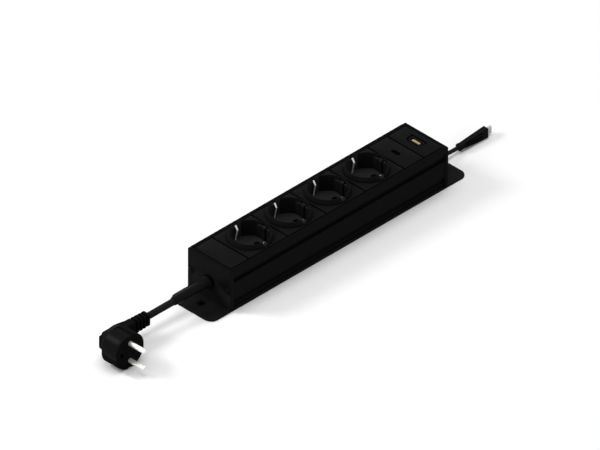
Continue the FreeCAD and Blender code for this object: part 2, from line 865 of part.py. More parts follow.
def socket_insert(number, centre):
    """One earthed socket: collar, cup, flat-sided recess, guide ribs, clip notches and two pin holes."""
    body = insert_blank(S.socket_pitch)
    cup = new_sketch(body, "XY_Plane", TOP)
    circle(cup, 0, 0, S.recess_radius + S.recess_wall)
    pad(body, cup, S.recess_floor + S.recess_base, backwards=True)
    collar = new_sketch(body, "XZ_Plane")
    foot, rim = S.collar_foot_radius, S.collar_rim_radius
    collar_points = [
        (0, TOP),
        (foot, TOP),
        (foot, TOP + S.collar_foot_height),
        (rim, RIM - S.collar_rim_edge),
        (rim - S.collar_rim_edge / 2, RIM),
        (0, RIM),
    ]
    polygon(collar, collar_points)
    revolve(body, collar)
    mouth = new_sketch(body, "XY_Plane", RIM)
    circle(mouth, 0, 0, S.recess_radius)
    pocket(body, mouth, S.flat_top_drop)
    well = new_sketch(body, "XY_Plane", RIM - S.flat_top_drop)
    recess_outline(well, S.recess_radius, S.recess_flat)
    pocket(body, well, RIM - S.flat_top_drop - RECESS_FLOOR)
    ribs = new_sketch(body, "XY_Plane", RECESS_FLOOR)
    for sign in (-1, 1):
        inner, outer = sign * (S.recess_flat - S.rib_rise), sign * (S.recess_flat + S.rib_root)
        rectangle(ribs, *ordered(inner, outer), -S.rib_half_width, S.rib_half_width)
    pad(body, ribs, RIM - S.rib_top_drop - RECESS_FLOOR)
    notches = new_sketch(body, "XY_Plane", RIM)
    outer = S.collar_foot_radius + S.cutter_excess
    for sign in (-1, 1):
        near, far = ordered(sign * S.notch_inner, sign * outer)
        rectangle(notches, -S.notch_half_width, S.notch_half_width, near, far)
    pocket(body, notches, S.collar_rise - S.notch_floor)
    floor_cuts = new_sketch(body, "XY_Plane", RECESS_FLOOR)
    slot = S.strip_width / 2 + S.fit_gap
    strip_half = S.strip_thickness / 2
    for sign in (-1, 1):
        circle(floor_cuts, sign * S.pin_spacing / 2, 0, S.pin_hole / 2)
        inner = S.clip_reach - strip_half - S.strip_bend
        near, far = ordered(sign * inner, sign * (S.clip_reach + strip_half))
        rectangle(floor_cuts, -slot, slot, near, far)
    pocket(body, floor_cuts, S.recess_base)
    place(body, centre)
    node(body, f"socket_insert_{number}")


def ordered(one, other):
    """Two sizes, the lower first."""
    return (one, other) if float(one) < float(other) else (other, one)


def earth_bracket(number, centre):
    """One bent strip: flat under the recess floor, and at each end a clip that bulges in and curls out."""
    base = RECESS_UNDERSIDE - S.strip_thickness / 2
    bulge = TOP - S.clip_bulge_drop
    clip = [
        (S.clip_reach, base),
        (S.clip_reach, RECESS_FLOOR + S.clip_knee_rise),
        (S.clip_bulge, bulge),
        (S.clip_tip_reach, TOP + S.clip_tip_rise),
    ]
    line = [(-across, up) for across, up in reversed(clip)] + clip
    half_width = S.strip_width / 2
    points = [(centre - half_width, across, up) for across, up in line]
    path = bent_line(points, float(S.strip_bend + S.strip_thickness / 2))
    strip = path.makeOffset2D(float(S.strip_thickness) / 2, 0, False, True, False)
    other = path.makeOffset2D(-float(S.strip_thickness) / 2, 0, False, True, False)
    face = Part.Face(Part.Wire(Part.__sortEdges__(strip.Edges + other.Edges + end_caps(strip, other))))
    feature = DOC.addObject("Part::Feature", "bracket")
    feature.Shape = face.extrude(FreeCAD.Vector(float(S.strip_width), 0, 0))
    node(feature, f"earth_bracket_{number}")


def end_caps(one, other):
    """The two short edges that close the gap between two offset lines at their ends."""
    def ends(wire):
        vertexes = wire.OrderedVertexes
        return vertexes[0].Point, vertexes[-1].Point

    caps = []
    for start in ends(one):
        nearest = min(ends(other), key=lambda point: point.distanceToPoint(start))
        caps.append(Part.LineSegment(start, nearest).toShape())
    return caps


def bent_line(points, radius):
    """A wire of straight runs whose corners are bent to one radius, or less where the runs are short."""
    corners = [FreeCAD.Vector(*map(float, point)) for point in points]
    edges = []
    here = corners[0]
    for before, corner, after in zip(corners, corners[1:], corners[2:]):
        back = (before - corner).normalize()
        on = (after - corner).normalize()
        half_turn = (math.pi - back.getAngle(on)) / 2
        shorter = min((before - corner).Length, (after - corner).Length)
        bend = min(radius, RUN_SHARE * shorter / math.tan(half_turn))
        reach = bend * math.tan(half_turn)
        middle = corner + (back + on).normalize() * (bend / math.cos(half_turn) - bend)
        edges.append(Part.LineSegment(here, corner + back * reach).toShape())
        edges.append(Part.Arc(corner + back * reach, middle, corner + on * reach).toShape())
        here = corner + on * reach
    edges.append(Part.LineSegment(here, corners[-1]).toShape())
    return Part.Wire(edges)


def contact_fork(label, along, side):
    """A contact of bent strip: two arms grip the pin, and a tail runs out to its busbar on one side."""
    inner = S.fork_gap / 2
    outer = inner + S.fork_wall
    low = BAR_TOP
    high = RECESS_UNDERSIDE - S.fork_headroom
    flare = high - S.fork_flare
    tail = S.bar_across + S.bar_width / 2
    points = [
        (-outer, low),
        (tail, low),
        (tail, low + S.fork_wall),
        (outer, low + S.fork_wall),
        (outer, flare),
        (outer + S.fork_flare, high),
        (inner + S.fork_flare, high),
        (inner, flare),
        (inner, low + S.fork_wall),
        (-inner, low + S.fork_wall),
        (-inner, flare),
        (-inner - S.fork_flare, high),
        (-outer - S.fork_flare, high),
        (-outer, flare),
    ]
    body = new_body()
    section = new_sketch(body, "YZ_Plane")
    polygon(section, [(side * across, up) for across, up in points])
    pad(body, section, S.fork_width, symmetric=True)
    place(body, along)
    node(body, label)


def busbars():
    """Three long strips: live and neutral on the carrier's ribs, earth under the brackets."""
    for label, side in (("live_busbar", 1), ("neutral_busbar", -1)):
        near = side * S.bar_across - S.bar_width / 2
        bar = block(BARS_START, CHARGER_BOARD, near, near + S.bar_width, S.bar_height, BAR_TOP)
        node(bar, label)
    low = RECESS_UNDERSIDE - S.strip_thickness - S.strip_thickness
    near = S.earth_bar_across - S.earth_bar_width / 2
    far_end = LAST_SOCKET + S.strip_width / 2
    bar = block(BARS_START, far_end, near, near + S.earth_bar_width, low, low + S.strip_thickness)
    node(bar, "earth_busbar")


def contact_carrier():
    """The tray on the profile's floor: a lipped rib under each busbar and a flat foot under the boards."""
    rib_in = S.bar_across - S.bar_width / 2 - S.carrier_lip
    groove_in = S.bar_across - S.bar_width / 2
    groove_out = S.bar_across + S.bar_width / 2
    rib_out = groove_out + S.carrier_lip
    half = [
        (rib_in, CARRIER_TOP),
        (rib_in, BAR_TOP),
        (groove_in, BAR_TOP),
        (groove_in, S.bar_height),
        (groove_out, S.bar_height),
        (groove_out, BAR_TOP),
        (rib_out, BAR_TOP),
        (rib_out, CARRIER_TOP),
        (S.carrier_half_width, CARRIER_TOP),
        (S.carrier_half_width, CAVITY_FLOOR),
    ]
    body = new_body()
    ribbed = new_sketch(body, "YZ_Plane", BARS_START)
    polygon(ribbed, mirrored(half))
    pad(body, ribbed, CHARGER_BOARD - BARS_START)
    foot = new_sketch(body, "YZ_Plane", BARS_START)
    half_width = S.carrier_half_width
    rectangle(foot, -half_width, half_width, CAVITY_FLOOR, CARRIER_TOP)
    pad(body, foot, DATA_BOARD + S.board_thickness - BARS_START)
    node(body, "contact_carrier")


def charger_insert():
    """The insert with the small port's oblong opening."""
    body = insert_blank(S.charger_insert)
    opening = new_sketch(body, "XY_Plane", TOP)
    stadium(opening, S.slot_width, S.slot_length)
    pocket(body, opening, S.insert_plate)
    place(body, CHARGER_CENTRE)
    node(body, "charger_insert")


def charger_port():
    """The small port: a drawn steel shell with a thin tongue down its middle, soldered to the board."""
    shell = new_body()
    low = TOP - S.shell_depth
    outside = new_sketch(shell, "XY_Plane", low)
    stadium(outside, S.shell_width, S.shell_length)
    pad(shell, outside, S.shell_depth)
    inside = new_sketch(shell, "XY_Plane", TOP)
    stadium(inside, S.shell_width - 2 * S.shell_wall, S.shell_length - 2 * S.shell_wall)
    pocket(shell, inside, S.shell_depth - S.shell_back)
    place(shell, CHARGER_CENTRE)
    node(shell, "charger_port_shell")
    half = S.tongue_thickness / 2
    reach = S.tongue_length / 2
    left, right = CHARGER_CENTRE - half, CHARGER_CENTRE + half
    tongue = block(left, right, -reach, reach, low + S.shell_back, TOP - S.tongue_drop)
    node(tongue, "charger_port_tongue")


def charger_electronics():
    """The upright charger board on the carrier's foot, with its transformer and two capacitors."""
    board_far = CHARGER_BOARD + S.board_thickness
    half = S.board_half_width
    board = block(CHARGER_BOARD, board_far, -half, half, CARRIER_TOP, BOARD_TOP)
    node(board, "charger_board")
    middle = (S.bar_height + BOARD_TOP) / 2
    reach = S.transformer_long / 2
    low = middle - S.transformer_high / 2
    face = CHARGER_BOARD - S.transformer_deep
    block_shape = block(face, CHARGER_BOARD, -reach, reach, low, low + S.transformer_high)
    node(block_shape, "charger_transformer")
    cans = []
    for sign in (-1, 1):
        can = DOC.addObject("Part::Cylinder", "can")
        bind(can, "Radius", S.capacitor_width / 2)
        bind(can, "Height", S.capacitor_high)
        turn = FreeCAD.Rotation(FreeCAD.Vector(0, 1, 0), 90)
        place(can, board_far, sign * (half - S.capacitor_width / 2), middle, turn)
        cans.append(can)
    group("charger_capacitors", cans)


def frame_points(wide, long, clip):
    """The corners of a rectangle, long across X, with its two -X corners cut off."""
    x, y = wide / 2, long / 2
    return [(x, -y), (x, y), (-x + clip, y), (-x, y - clip), (-x, -y + clip), (-x + clip, -y)]


def data_insert():
    """The insert with the larger port: a shallow frame round the opening for the port's shell."""
    body = insert_blank(S.end_insert)
    frame = new_sketch(body, "XY_Plane", TOP)
    shift = S.data_port_shift
    outer = frame_points(S.data_frame_wide, S.data_frame_long, S.data_frame_clip)
    polygon(frame, [(across + shift, up) for across, up in outer])
    pocket(body, frame, S.data_frame_depth)
    opening = new_sketch(body, "XY_Plane", TOP)
    gap = 2 * S.fit_gap
    inner = frame_points(S.data_shell_wide + gap, S.data_shell_long + gap, S.data_shell_clip)
    polygon(opening, [(across + shift, up) for across, up in inner])
    pocket(body, opening, S.insert_plate)
    place(body, DATA_CENTRE)
    node(body, "data_insert")


def data_port():
    """The larger port: a folded steel shell, a moulded tongue and the gold contacts on its face."""
    rim = TOP - S.data_frame_depth / 2
    low = rim - S.data_shell_depth
    shell = new_body()
    outside = new_sketch(shell, "XY_Plane", low)
    polygon(outside, frame_points(S.data_shell_wide, S.data_shell_long, S.data_shell_clip))
    pad(shell, outside, S.data_shell_depth)
    inside = new_sketch(shell, "XY_Plane", rim)
    wall = 2 * S.data_shell_wall
    inner = frame_points(S.data_shell_wide - wall, S.data_shell_long - wall, S.data_shell_clip)
    polygon(inside, inner)
    pocket(shell, inside, S.data_shell_depth - S.data_shell_back)
    place(shell, DATA_PORT)
    node(shell, "data_port_shell")
    half = S.data_tongue_wide / 2
    reach = S.data_tongue_long / 2
    crest = rim - S.data_tongue_drop
    left, right = DATA_PORT - half, DATA_PORT + half
    tongue = block(left, right, -reach, reach, low + S.data_shell_back, crest)
    node(tongue, "data_port_tongue")
    strips = []
    middle = (DATA_CONTACTS - 1) / 2
    pitch = (S.data_tongue_long - S.data_contact_width) / DATA_CONTACTS
    for index in range(DATA_CONTACTS):
        centre = (index - middle) * pitch
        near, far = centre - S.data_contact_width / 2, centre + S.data_contact_width / 2
        strips.append(block(left, right, near, far, crest, crest + S.data_contact_rise))
    group("data_port_contacts", strips)


def data_board():
    """The upright board behind the data port, standing on the carrier's foot."""
    half = S.data_board_half_width
    board = block(DATA_BOARD, DATA_BOARD + S.board_thickness, -half, half, CARRIER_TOP, BOARD_TOP)
    node(board, "data_board")


def drop_of_plug():
    """How far the mains plug lies below the gland, so that its round body rests on the table."""
    return S.cord_height - S.plug_radius


def slanted_run(body, kind, diameter, ends):
    """A round run between two ends, each (along, across, up), whose end faces both stand square to X."""
    sketches = []
    for along, across, up in ends:
        sketch = new_sketch(body, "YZ_Plane", along)
        circle(sketch, across, up, diameter / 2)
        sketches.append(sketch)
    loft(body, kind, sketches)


def cord_point(along):
    """The mains cord's middle at a place along X: it drifts back as it falls from the gland to the plug."""
    start = -(CAP_FACE + S.gland_flange_depth)
    share = (start - along) / (S.plug_sleeve_end - S.gland_flange_depth)
    return along, S.cord_drift * share, S.cord_height - drop_of_plug() * share


def mains_cord():
    """The cord from the gland's face to the plug's sleeve: one straight run with upright ends."""
    start = cord_point(-(CAP_FACE + S.gland_flange_depth))
    end = cord_point(-(CAP_FACE + S.plug_sleeve_end))
    body = new_body()
    slanted_run(body, "Additive", S.cord_diameter, [start, end])
    length = math.dist([float(value) for value in start], [float(value) for value in end])
    print(f"mains_cord: length {length:.1f}, straight")
    node(body, "mains_cord")


def cord_gland():
    """The gland: a lip and a flange that grip the cap, and a tapered bend sleeve that follows the cord."""
    cap_inside = -HALF_PROFILE
    face = -CAP_FACE
    flange_face = face - S.gland_flange_depth
    lip_end = cap_inside + S.gland_lip_depth
    height = S.cord_height
    body = new_body()
    outline = new_sketch(body, "XZ_Plane")
    flange = S.gland_flange / 2
    points = [
        (lip_end, 0),
        (lip_end, S.gland_lip / 2),
        (cap_inside, S.gland_lip / 2),
        (cap_inside, S.gland_neck / 2),
        (face, S.gland_neck / 2),
        (face, flange),
        (flange_face + S.cap_edge, flange),
        (flange_face, flange - S.cap_edge),
        (flange_face, 0),
    ]
    polygon(outline, points)
    revolve(body, outline, axis="H_Axis")
    lead = boolean("MultiFuse", body, bend_sleeve(flange_face))
    place(body, 0, 0, height)
    bore = new_body()
    slanted_run(bore, "Additive", S.cord_diameter, [(lip_end, 0, height), (flange_face, 0, height)])
    beyond = cord_point(flange_face - S.sleeve_length - S.cutter_excess)
    sleeve_bore = new_body()
    slanted_run(sleeve_bore, "Additive", S.cord_diameter, [cord_point(flange_face), beyond])
    node(boolean("Cut", lead, boolean("MultiFuse", bore, sleeve_bore)), "cord_gland")


def bend_sleeve(start):
    """The gland's tapered sleeve, from the flange's face along the cord."""
    body = new_body()
    sketches = []
    for (along, across, up), diameter in (
        (cord_point(start), S.sleeve_root),
        (cord_point(start - S.sleeve_length), S.sleeve_tip),
    ):
        sketch = new_sketch(body, "YZ_Plane", along)
        circle(sketch, across, up, diameter / 2)
        sketches.append(sketch)
    loft(body, "Additive", sketches)
    return body


def cord_clamp():
    """The clamp inside the mains end: a post on the floor, a strap over the cord and two screws."""
    left = S.clamp_inset - HALF_PROFILE
    right = left + S.clamp_length
    half = S.clamp_width / 2
    split = S.cord_height
    post = block(left, right, -half, half, CAVITY_FLOOR, split - S.clamp_gap / 2)
    strap = block(left, right, -half, half, split + S.clamp_gap / 2, split + S.clamp_strap)
    for piece, label in ((post, "cord_clamp_post"), (strap, "cord_clamp_strap")):
        groove = DOC.addObject("Part::Cylinder", "groove")
        bind(groove, "Radius", S.cord_diameter / 2)
        bind(groove, "Height", S.clamp_length)
        place(groove, left, 0, S.cord_height, FreeCAD.Rotation(FreeCAD.Vector(0, 1, 0), 90))
        tools = [groove]
        for sign in (-1, 1):
            hole = DOC.addObject("Part::Cylinder", "hole")
            bind(hole, "Radius", S.plate_screw_shank / 2)
            bind(hole, "Height", S.clamp_screw_length)
            along = left + S.clamp_length / 2
            place(hole, along, sign * S.clamp_screw_across, split + S.clamp_strap - S.clamp_screw_length)
            tools.append(hole)
        node(boolean("Cut", piece, boolean("MultiFuse", *tools)), label)
    pieces = []
    for sign in (-1, 1):
        piece = screw(S.plate_screw_shank, S.clamp_screw_head, S.clamp_screw_length, S.cap_screw_rise)
        place(piece, left + S.clamp_length / 2, sign * S.clamp_screw_across, split + S.clamp_strap)
        pieces.append(piece)
    group("cord_clamp_screws", pieces)


def inner_leads():
    """The cord's end inside the housing, the three wires to the busbars and the data lead's inner end."""
    start = -(CAP_FACE + S.gland_flange_depth)
    jacket_end = S.inner_cord_length - CAP_FACE
    height = S.cord_height
    tube("cord_inner_end", [(start, 0, height), (jacket_end, 0, height)], S.cord_diameter)
    bar_middle = S.bar_height + S.bar_thickness / 2
    earth_middle = RECESS_UNDERSIDE - S.strip_thickness - S.strip_thickness / 2
    ends = {
        "live_wire": ((S.live_spread, height - S.live_drop), (S.bar_across, bar_middle)),
        "neutral_wire": ((-S.live_spread, height - S.live_drop), (-S.bar_across, bar_middle)),
        "earth_wire": ((0, height + S.earth_lift), (S.earth_bar_across, earth_middle)),
    }
    for label, (cord_end, bar_end) in ends.items():
        wire = new_body()
        slanted_run(wire, "Additive", S.wire_diameter, [(jacket_end, *cord_end), (BARS_START, *bar_end)])
        node(wire, label)
    inside = DATA_BOARD + S.board_thickness
    up = S.data_cord_height
    tube("data_inner_lead", [(CAP_FACE, 0, up), (inside, 0, up)], S.data_cord_diameter)


def mains_plug():
    """The angled plug: a round boss with guide grooves, a back that narrows, and a ribbed sleeve."""
    along = -(CAP_FACE + S.plug_along)
    drift = S.cord_drift
    height = S.plug_radius
    body = new_body()
    face = new_sketch(body, "XZ_Plane", S.plug_forward)
    circle(face, 0, 0, S.plug_radius)
    pad(body, face, S.boss_depth, backwards=True)
    plug_back(body)
    plug_sleeve(body, S.plug_along - S.plug_sleeve_end)
    cuts = new_sketch(body, "XZ_Plane", S.plug_forward)
    for sign in (-1, 1):
        beyond = sign * (S.plug_radius + S.cutter_excess)
        near, far = ordered(sign * (S.plug_radius - S.guide_depth), beyond)
        rectangle(cuts, -S.guide_width / 2, S.guide_width / 2, near, far)
        near, far = ordered(sign * (S.plug_radius - S.strip_seat_depth), beyond)
        rectangle(cuts, near, far, -S.strip_seat_width / 2, S.strip_seat_width / 2)
    pocket(body, cuts, S.boss_depth)
    hole = new_sketch(body, "XZ_Plane", S.plug_forward)
    circle(hole, -S.earth_hole_offset, 0, S.earth_hole / 2)
    pocket(body, hole, S.earth_hole_depth)
    place(body, along, drift, height)
    node(body, "plug_body")
    plug_pins(along, drift - S.plug_forward, height)
    plug_strips(along, drift - S.plug_forward, height)


def plug_back(body):
    """The plug's back: one ruled loft from the round boss to a small rectangle, off towards the sleeve."""
    radius = S.plug_radius - S.plug_shoulder
    shoulder = new_sketch(body, "XZ_Plane", S.plug_forward - S.boss_depth)
    rounded_rectangle(shoulder, radius, radius, S.plug_shoulder_corner)
    back = new_sketch(body, "XZ_Plane", S.plug_forward - S.plug_back)
    half_width, half_height = S.plug_back_half_width, S.plug_back_half_height
    rounded_rectangle(back, half_width, half_height, S.plug_back_corner, S.plug_back_shift)
    loft(body, "Additive", [shoulder, back])


def plug_sleeve(body, length):
    """The sleeve round the cord: it grows out of the plug's back and tapers to its ring grooves."""
    across, up = S.plug_sleeve_across, -S.plug_sleeve_drop
    sections = [
        (S.plug_sleeve_start, S.plug_sleeve_start_width, S.plug_sleeve_start_height),
        (S.plug_sleeve_bulge, S.plug_sleeve_bulge_width, S.plug_sleeve_bulge_height),
        (S.plug_sleeve_waist, S.plug_sleeve_waist_width, S.plug_sleeve_waist_height),
        (length, S.plug_sleeve_half_width, S.plug_sleeve_half_height),
    ]
    sketches = []
    for along, wide, tall in sections:
        sketch = new_sketch(body, "YZ_Plane", along)
        rounded_rectangle(sketch, wide, tall, S.plug_sleeve_corner, across, up)
        sketches.append(sketch)
    loft(body, "Additive", sketches)
    wide = S.plug_sleeve_half_width - S.sleeve_rib_depth
    tall = S.plug_sleeve_half_height - S.sleeve_rib_depth
    outer = S.plug_sleeve_waist_height + S.cutter_excess
    for index in range(int(S.sleeve_ribs.value)):
        groove_start = length - S.sleeve_rib_gap - index * S.sleeve_rib_pitch
        ring = new_sketch(body, "YZ_Plane", groove_start - S.sleeve_rib_gap / 2)
        rectangle(ring, across - outer, across + outer, up - outer, up + outer)
        rounded_rectangle(ring, wide, tall, S.plug_sleeve_corner - S.sleeve_rib_depth / 2, across, up)
        pocket(body, ring, S.sleeve_rib_gap)


def plug_pins(along, face, height):
    """The two live pins, one above the other, with rounded tips."""
    pins = []
    for sign in (-1, 1):
        body = new_body()
        outline = new_sketch(body, "XZ_Plane")
        radius, length, edge = S.pin_radius, S.pin_length, S.pin_edge
        tip = [(radius, length - edge), (radius - edge, length), (0, length)]
        polygon(outline, [(0, 0), (radius, 0), *tip])
        revolve(body, outline)
        turn = FreeCAD.Rotation(FreeCAD.Vector(1, 0, 0), 90)
        place(body, along, face, height + sign * S.pin_spacing / 2, turn)
        pins.append(body)
    group("plug_pins", pins)


def plug_strips(along, face, height):
    """The two earth strips, each seated in its groove at one side of the boss."""
    strips = []
    for sign in (-1, 1):
        seat = along + sign * (S.plug_radius - S.strip_seat_depth)
        left, right = ordered(seat, seat + sign * S.plug_strip_thickness)
        half = S.plug_strip_width / 2
        strips.append(block(left, right, face, face + S.boss_depth, height - half, height + half))
    group("plug_earth_strips", strips)


def data_lead():
    """The data lead: a bush in the cap, the cord down to the table, the moulded plug and its metal tip."""
    bush = new_body()
    outline = new_sketch(bush, "XZ_Plane")
    flange_face = CAP_FACE + S.bush_flange_depth
    lip_end = HALF_PROFILE - S.bush_lip_depth
    bore = S.data_cord_diameter / 2
    points = [
        (lip_end, bore),
        (lip_end, S.bush_flange / 2),
        (HALF_PROFILE, S.bush_flange / 2),
        (HALF_PROFILE, S.bush_neck / 2),
        (CAP_FACE, S.bush_neck / 2),
        (CAP_FACE, S.bush_flange / 2),
        (flange_face, S.bush_flange / 2 - S.bush_edge),
        (flange_face, bore),
    ]
    polygon(outline, points)
    revolve(bush, outline, axis="H_Axis")
    place(bush, 0, 0, S.data_cord_height)
    node(bush, "data_bush")
    plug_start = CAP_FACE + S.data_lead_reach
    lying = S.data_plug_front_height / 2
    drift = S.data_lead_drift
    points = [
        (CAP_FACE, 0, S.data_cord_height),
        (CAP_FACE + S.data_lead_knee, 0, S.data_cord_height),
        (plug_start - S.data_lead_end, drift, lying),
        (plug_start, drift, lying),
    ]
    tube("data_cord", points, S.data_cord_diameter)
    body = new_body()
    rear = new_sketch(body, "YZ_Plane", 0)
    front = new_sketch(body, "YZ_Plane", S.data_plug_length)
    for sketch, wide, tall in (
        (rear, S.data_plug_rear_width / 2, S.data_plug_rear_height / 2),
        (front, S.data_plug_front_width / 2, S.data_plug_front_height / 2),
    ):
        rounded_rectangle(sketch, wide, tall, S.data_plug_edge)
    loft(body, "Additive", [rear, front])
    place(body, plug_start, drift, lying)
    node(body, "data_plug_body")
    shell = new_body()
    base = new_sketch(shell, "YZ_Plane", 0)
    stadium(base, S.tip_width, S.tip_height)
    pad(shell, base, S.tip_length)
    inner = new_sketch(shell, "YZ_Plane", S.tip_length)
    stadium(inner, S.tip_width - 2 * S.tip_wall, S.tip_height - 2 * S.tip_wall)
    pocket(shell, inner, S.tip_length - S.tip_back)
    place(shell, plug_start + S.data_plug_length, drift, lying)
    node(shell, "data_plug_shell")


def check():
    """Stops the script if an object failed, a feature changed nothing or a sub-part isn't a valid solid."""
    for item in DOC.Objects:
        if any(word in item.State for word in ("Invalid", "Error")):
            sys.exit(f"{item.Name} ({item.Label}) failed: {item.State}")
        base = getattr(item, "BaseFeature", None)
        if base is not None and not item.isDerivedFrom("PartDesign::Body"):
            if abs(item.Shape.Volume - base.Shape.Volume) < 1e-3:
                sys.exit(f"{item.Name} changes nothing")
    for item in NODES:
        if item.Shape.isNull() or not item.Shape.isValid() or not item.Shape.Solids:
            sys.exit(f"{item.Label} has no valid solid")


def main():
    """Builds every sub-part, checks them and writes one file each."""
    base_plate()
    housing_profile()
    end_cap("cord_end_cap", -1, S.gland_neck, S.cord_height)
    end_cap("data_end_cap", 1, S.bush_neck, S.data_cord_height)
    cap_screws("cord_cap_screws", -1)
    cap_screws("data_cap_screws", 1)
    plate_screws()
    blank_insert()
    for number in range(1, SOCKETS + 1):
        centre = FIRST_SOCKET + (number - 1) * S.socket_pitch
        socket_insert(number, centre)
        earth_bracket(number, centre)
        contact_fork(f"live_contact_{number}", centre - S.pin_spacing / 2, 1)
        contact_fork(f"neutral_contact_{number}", centre + S.pin_spacing / 2, -1)
    busbars()
    contact_carrier()
    charger_insert()
    charger_port()
    charger_electronics()
    data_insert()
    data_port()
    data_board()
    mains_cord()
    cord_gland()
    cord_clamp()
    inner_leads()
    mains_plug()
    data_lead()
    DOC.recompute()
    check()
    os.makedirs("parts", exist_ok=True)
    for item in NODES:
        item.Shape.exportStep(f"parts/{item.Label}.step")
    print(f"{len(NODES)} nodes")


main()
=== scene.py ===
"""Looks of an in-desk power module: black extrusion, earthed sockets, ports, mains lead and data lead.

Shapes are worked out in millimetres, in the same frame as the solids: +X along the housing, +Z up and the
origin under the middle of the base plate. They become metres when a mesh is made.
"""
from __future__ import annotations

import json
import logging
import math
from dataclasses import dataclass, field
from enum import Enum

import bmesh
import bpy
import numpy as np
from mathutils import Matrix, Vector

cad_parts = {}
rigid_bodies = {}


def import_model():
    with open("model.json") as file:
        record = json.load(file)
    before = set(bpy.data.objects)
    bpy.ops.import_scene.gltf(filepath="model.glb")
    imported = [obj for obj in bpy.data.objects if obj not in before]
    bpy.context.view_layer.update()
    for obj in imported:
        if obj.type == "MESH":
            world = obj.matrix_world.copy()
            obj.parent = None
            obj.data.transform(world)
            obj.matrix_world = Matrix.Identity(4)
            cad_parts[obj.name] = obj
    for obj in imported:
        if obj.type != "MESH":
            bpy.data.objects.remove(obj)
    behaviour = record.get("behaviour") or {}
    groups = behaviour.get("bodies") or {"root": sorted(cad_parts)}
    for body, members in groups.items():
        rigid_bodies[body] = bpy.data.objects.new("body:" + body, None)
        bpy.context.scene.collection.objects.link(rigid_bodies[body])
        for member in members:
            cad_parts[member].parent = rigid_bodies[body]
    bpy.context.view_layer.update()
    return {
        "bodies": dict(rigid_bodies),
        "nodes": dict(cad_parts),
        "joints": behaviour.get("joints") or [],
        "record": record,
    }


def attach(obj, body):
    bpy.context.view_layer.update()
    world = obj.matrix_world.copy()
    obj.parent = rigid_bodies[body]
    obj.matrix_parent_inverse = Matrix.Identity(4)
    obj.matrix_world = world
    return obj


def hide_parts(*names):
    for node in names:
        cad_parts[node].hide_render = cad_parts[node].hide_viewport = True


LOG = logging.getLogger("power_module")

Pair = tuple[float, float]
Triple = tuple[float, float, float]
# The steps of an edge in millimetres, each out, or across, and up, or along
Edge = tuple[Pair, ...]

MM = 0.001
BODY = "root"

# Detail and roughness of the fine grain and of the broad clouds, and how they mix in every finish
FINE_NOISE = (4.0, 0.6)
CLOUD_NOISE = (3.0, 0.5)
FINE_SHARE = 0.45
MIXED_RANGE = (0.45, 1.0)
LEAST_ROUGHNESS = 0.04
BUMP_STRENGTH = 0.6

# Points nearer than the first are one point, and edges shorter than the second go
SAME_POINT_MM = 0.002
NO_EDGE_MM = 0.001
# Edges that turn by more degrees stay crisp: on turned forms, on moulded forms and on copies of solids
SHARP = 32.0
SHARP_MOULDED = 24.0
SHARP_DRAWN = 20.0
SHARP_COPY = 28.0
# In a copy, facets that turn less than the first are one face, and the second is an edge worth breaking
FLAT_TURN = 0.6
BROKEN_TURN = 40.0
# A rounded corner takes at most this share of the shorter side
SIDE_SHARE = 0.45
# Points round a turned form: a large one, a small one, a screw's head and a hexagon socket
ROUND = 96
ROUND_SMALL = 64
ROUND_HEAD = 48
HEXAGON = 6
# Keeps a division by a cosine finite
TINY = 1e-6
# How near to an edge a face still belongs to it, in millimetres
NEAR = 0.1


class Grain(Enum):
    """How a surface was made, which sets the direction and depth of its pattern."""

    MOULDED = "moulded"
    DRAWN = "drawn"
    COATED = "coated"
    PLATED = "plated"


class End(Enum):
    """The two ends of the housing, by the sign of X."""

    CORD = -1
    DATA = 1


DRAWN, COATED, PLATED, MOULDED = Grain.DRAWN, Grain.COATED, Grain.PLATED, Grain.MOULDED


# Finishes


def linear(hex_colour: str) -> tuple[float, float, float, float]:
    """Turns an sRGB hex colour to the linear values that the shader takes.

    Args:
        hex_colour: six hex digits after a hash.

    Returns:
        Red, green, blue and an alpha of 1.
    """
    values = np.array([int(hex_colour[index:index + 2], 16) / 255 for index in (1, 3, 5)])
    curve = np.where(values <= 0.04045, values / 12.92, ((values + 0.055) / 1.055) ** 2.4)
    return (*(float(value) for value in curve), 1.0)


def add_node(
    tree: bpy.types.NodeTree,
    kind: str,
    inputs: dict[str, object] | None = None,
    settings: dict[str, object] | None = None,
) -> bpy.types.Node:
    """Adds a shader node, sets it up and links it.

    Args:
        tree: the node tree.
        kind: the node's type.
        inputs: socket name to a value, or to another node's output socket, which is linked.
        settings: attribute name to value.

    Returns:
        The new node.
    """
    made = tree.nodes.new(kind)
    for name, value in (settings or {}).items():
        setattr(made, name, value)
    for name, value in (inputs or {}).items():
        if isinstance(value, bpy.types.NodeSocket):
            tree.links.new(value, made.inputs[name])
        else:
            made.inputs[name].default_value = value
    return made


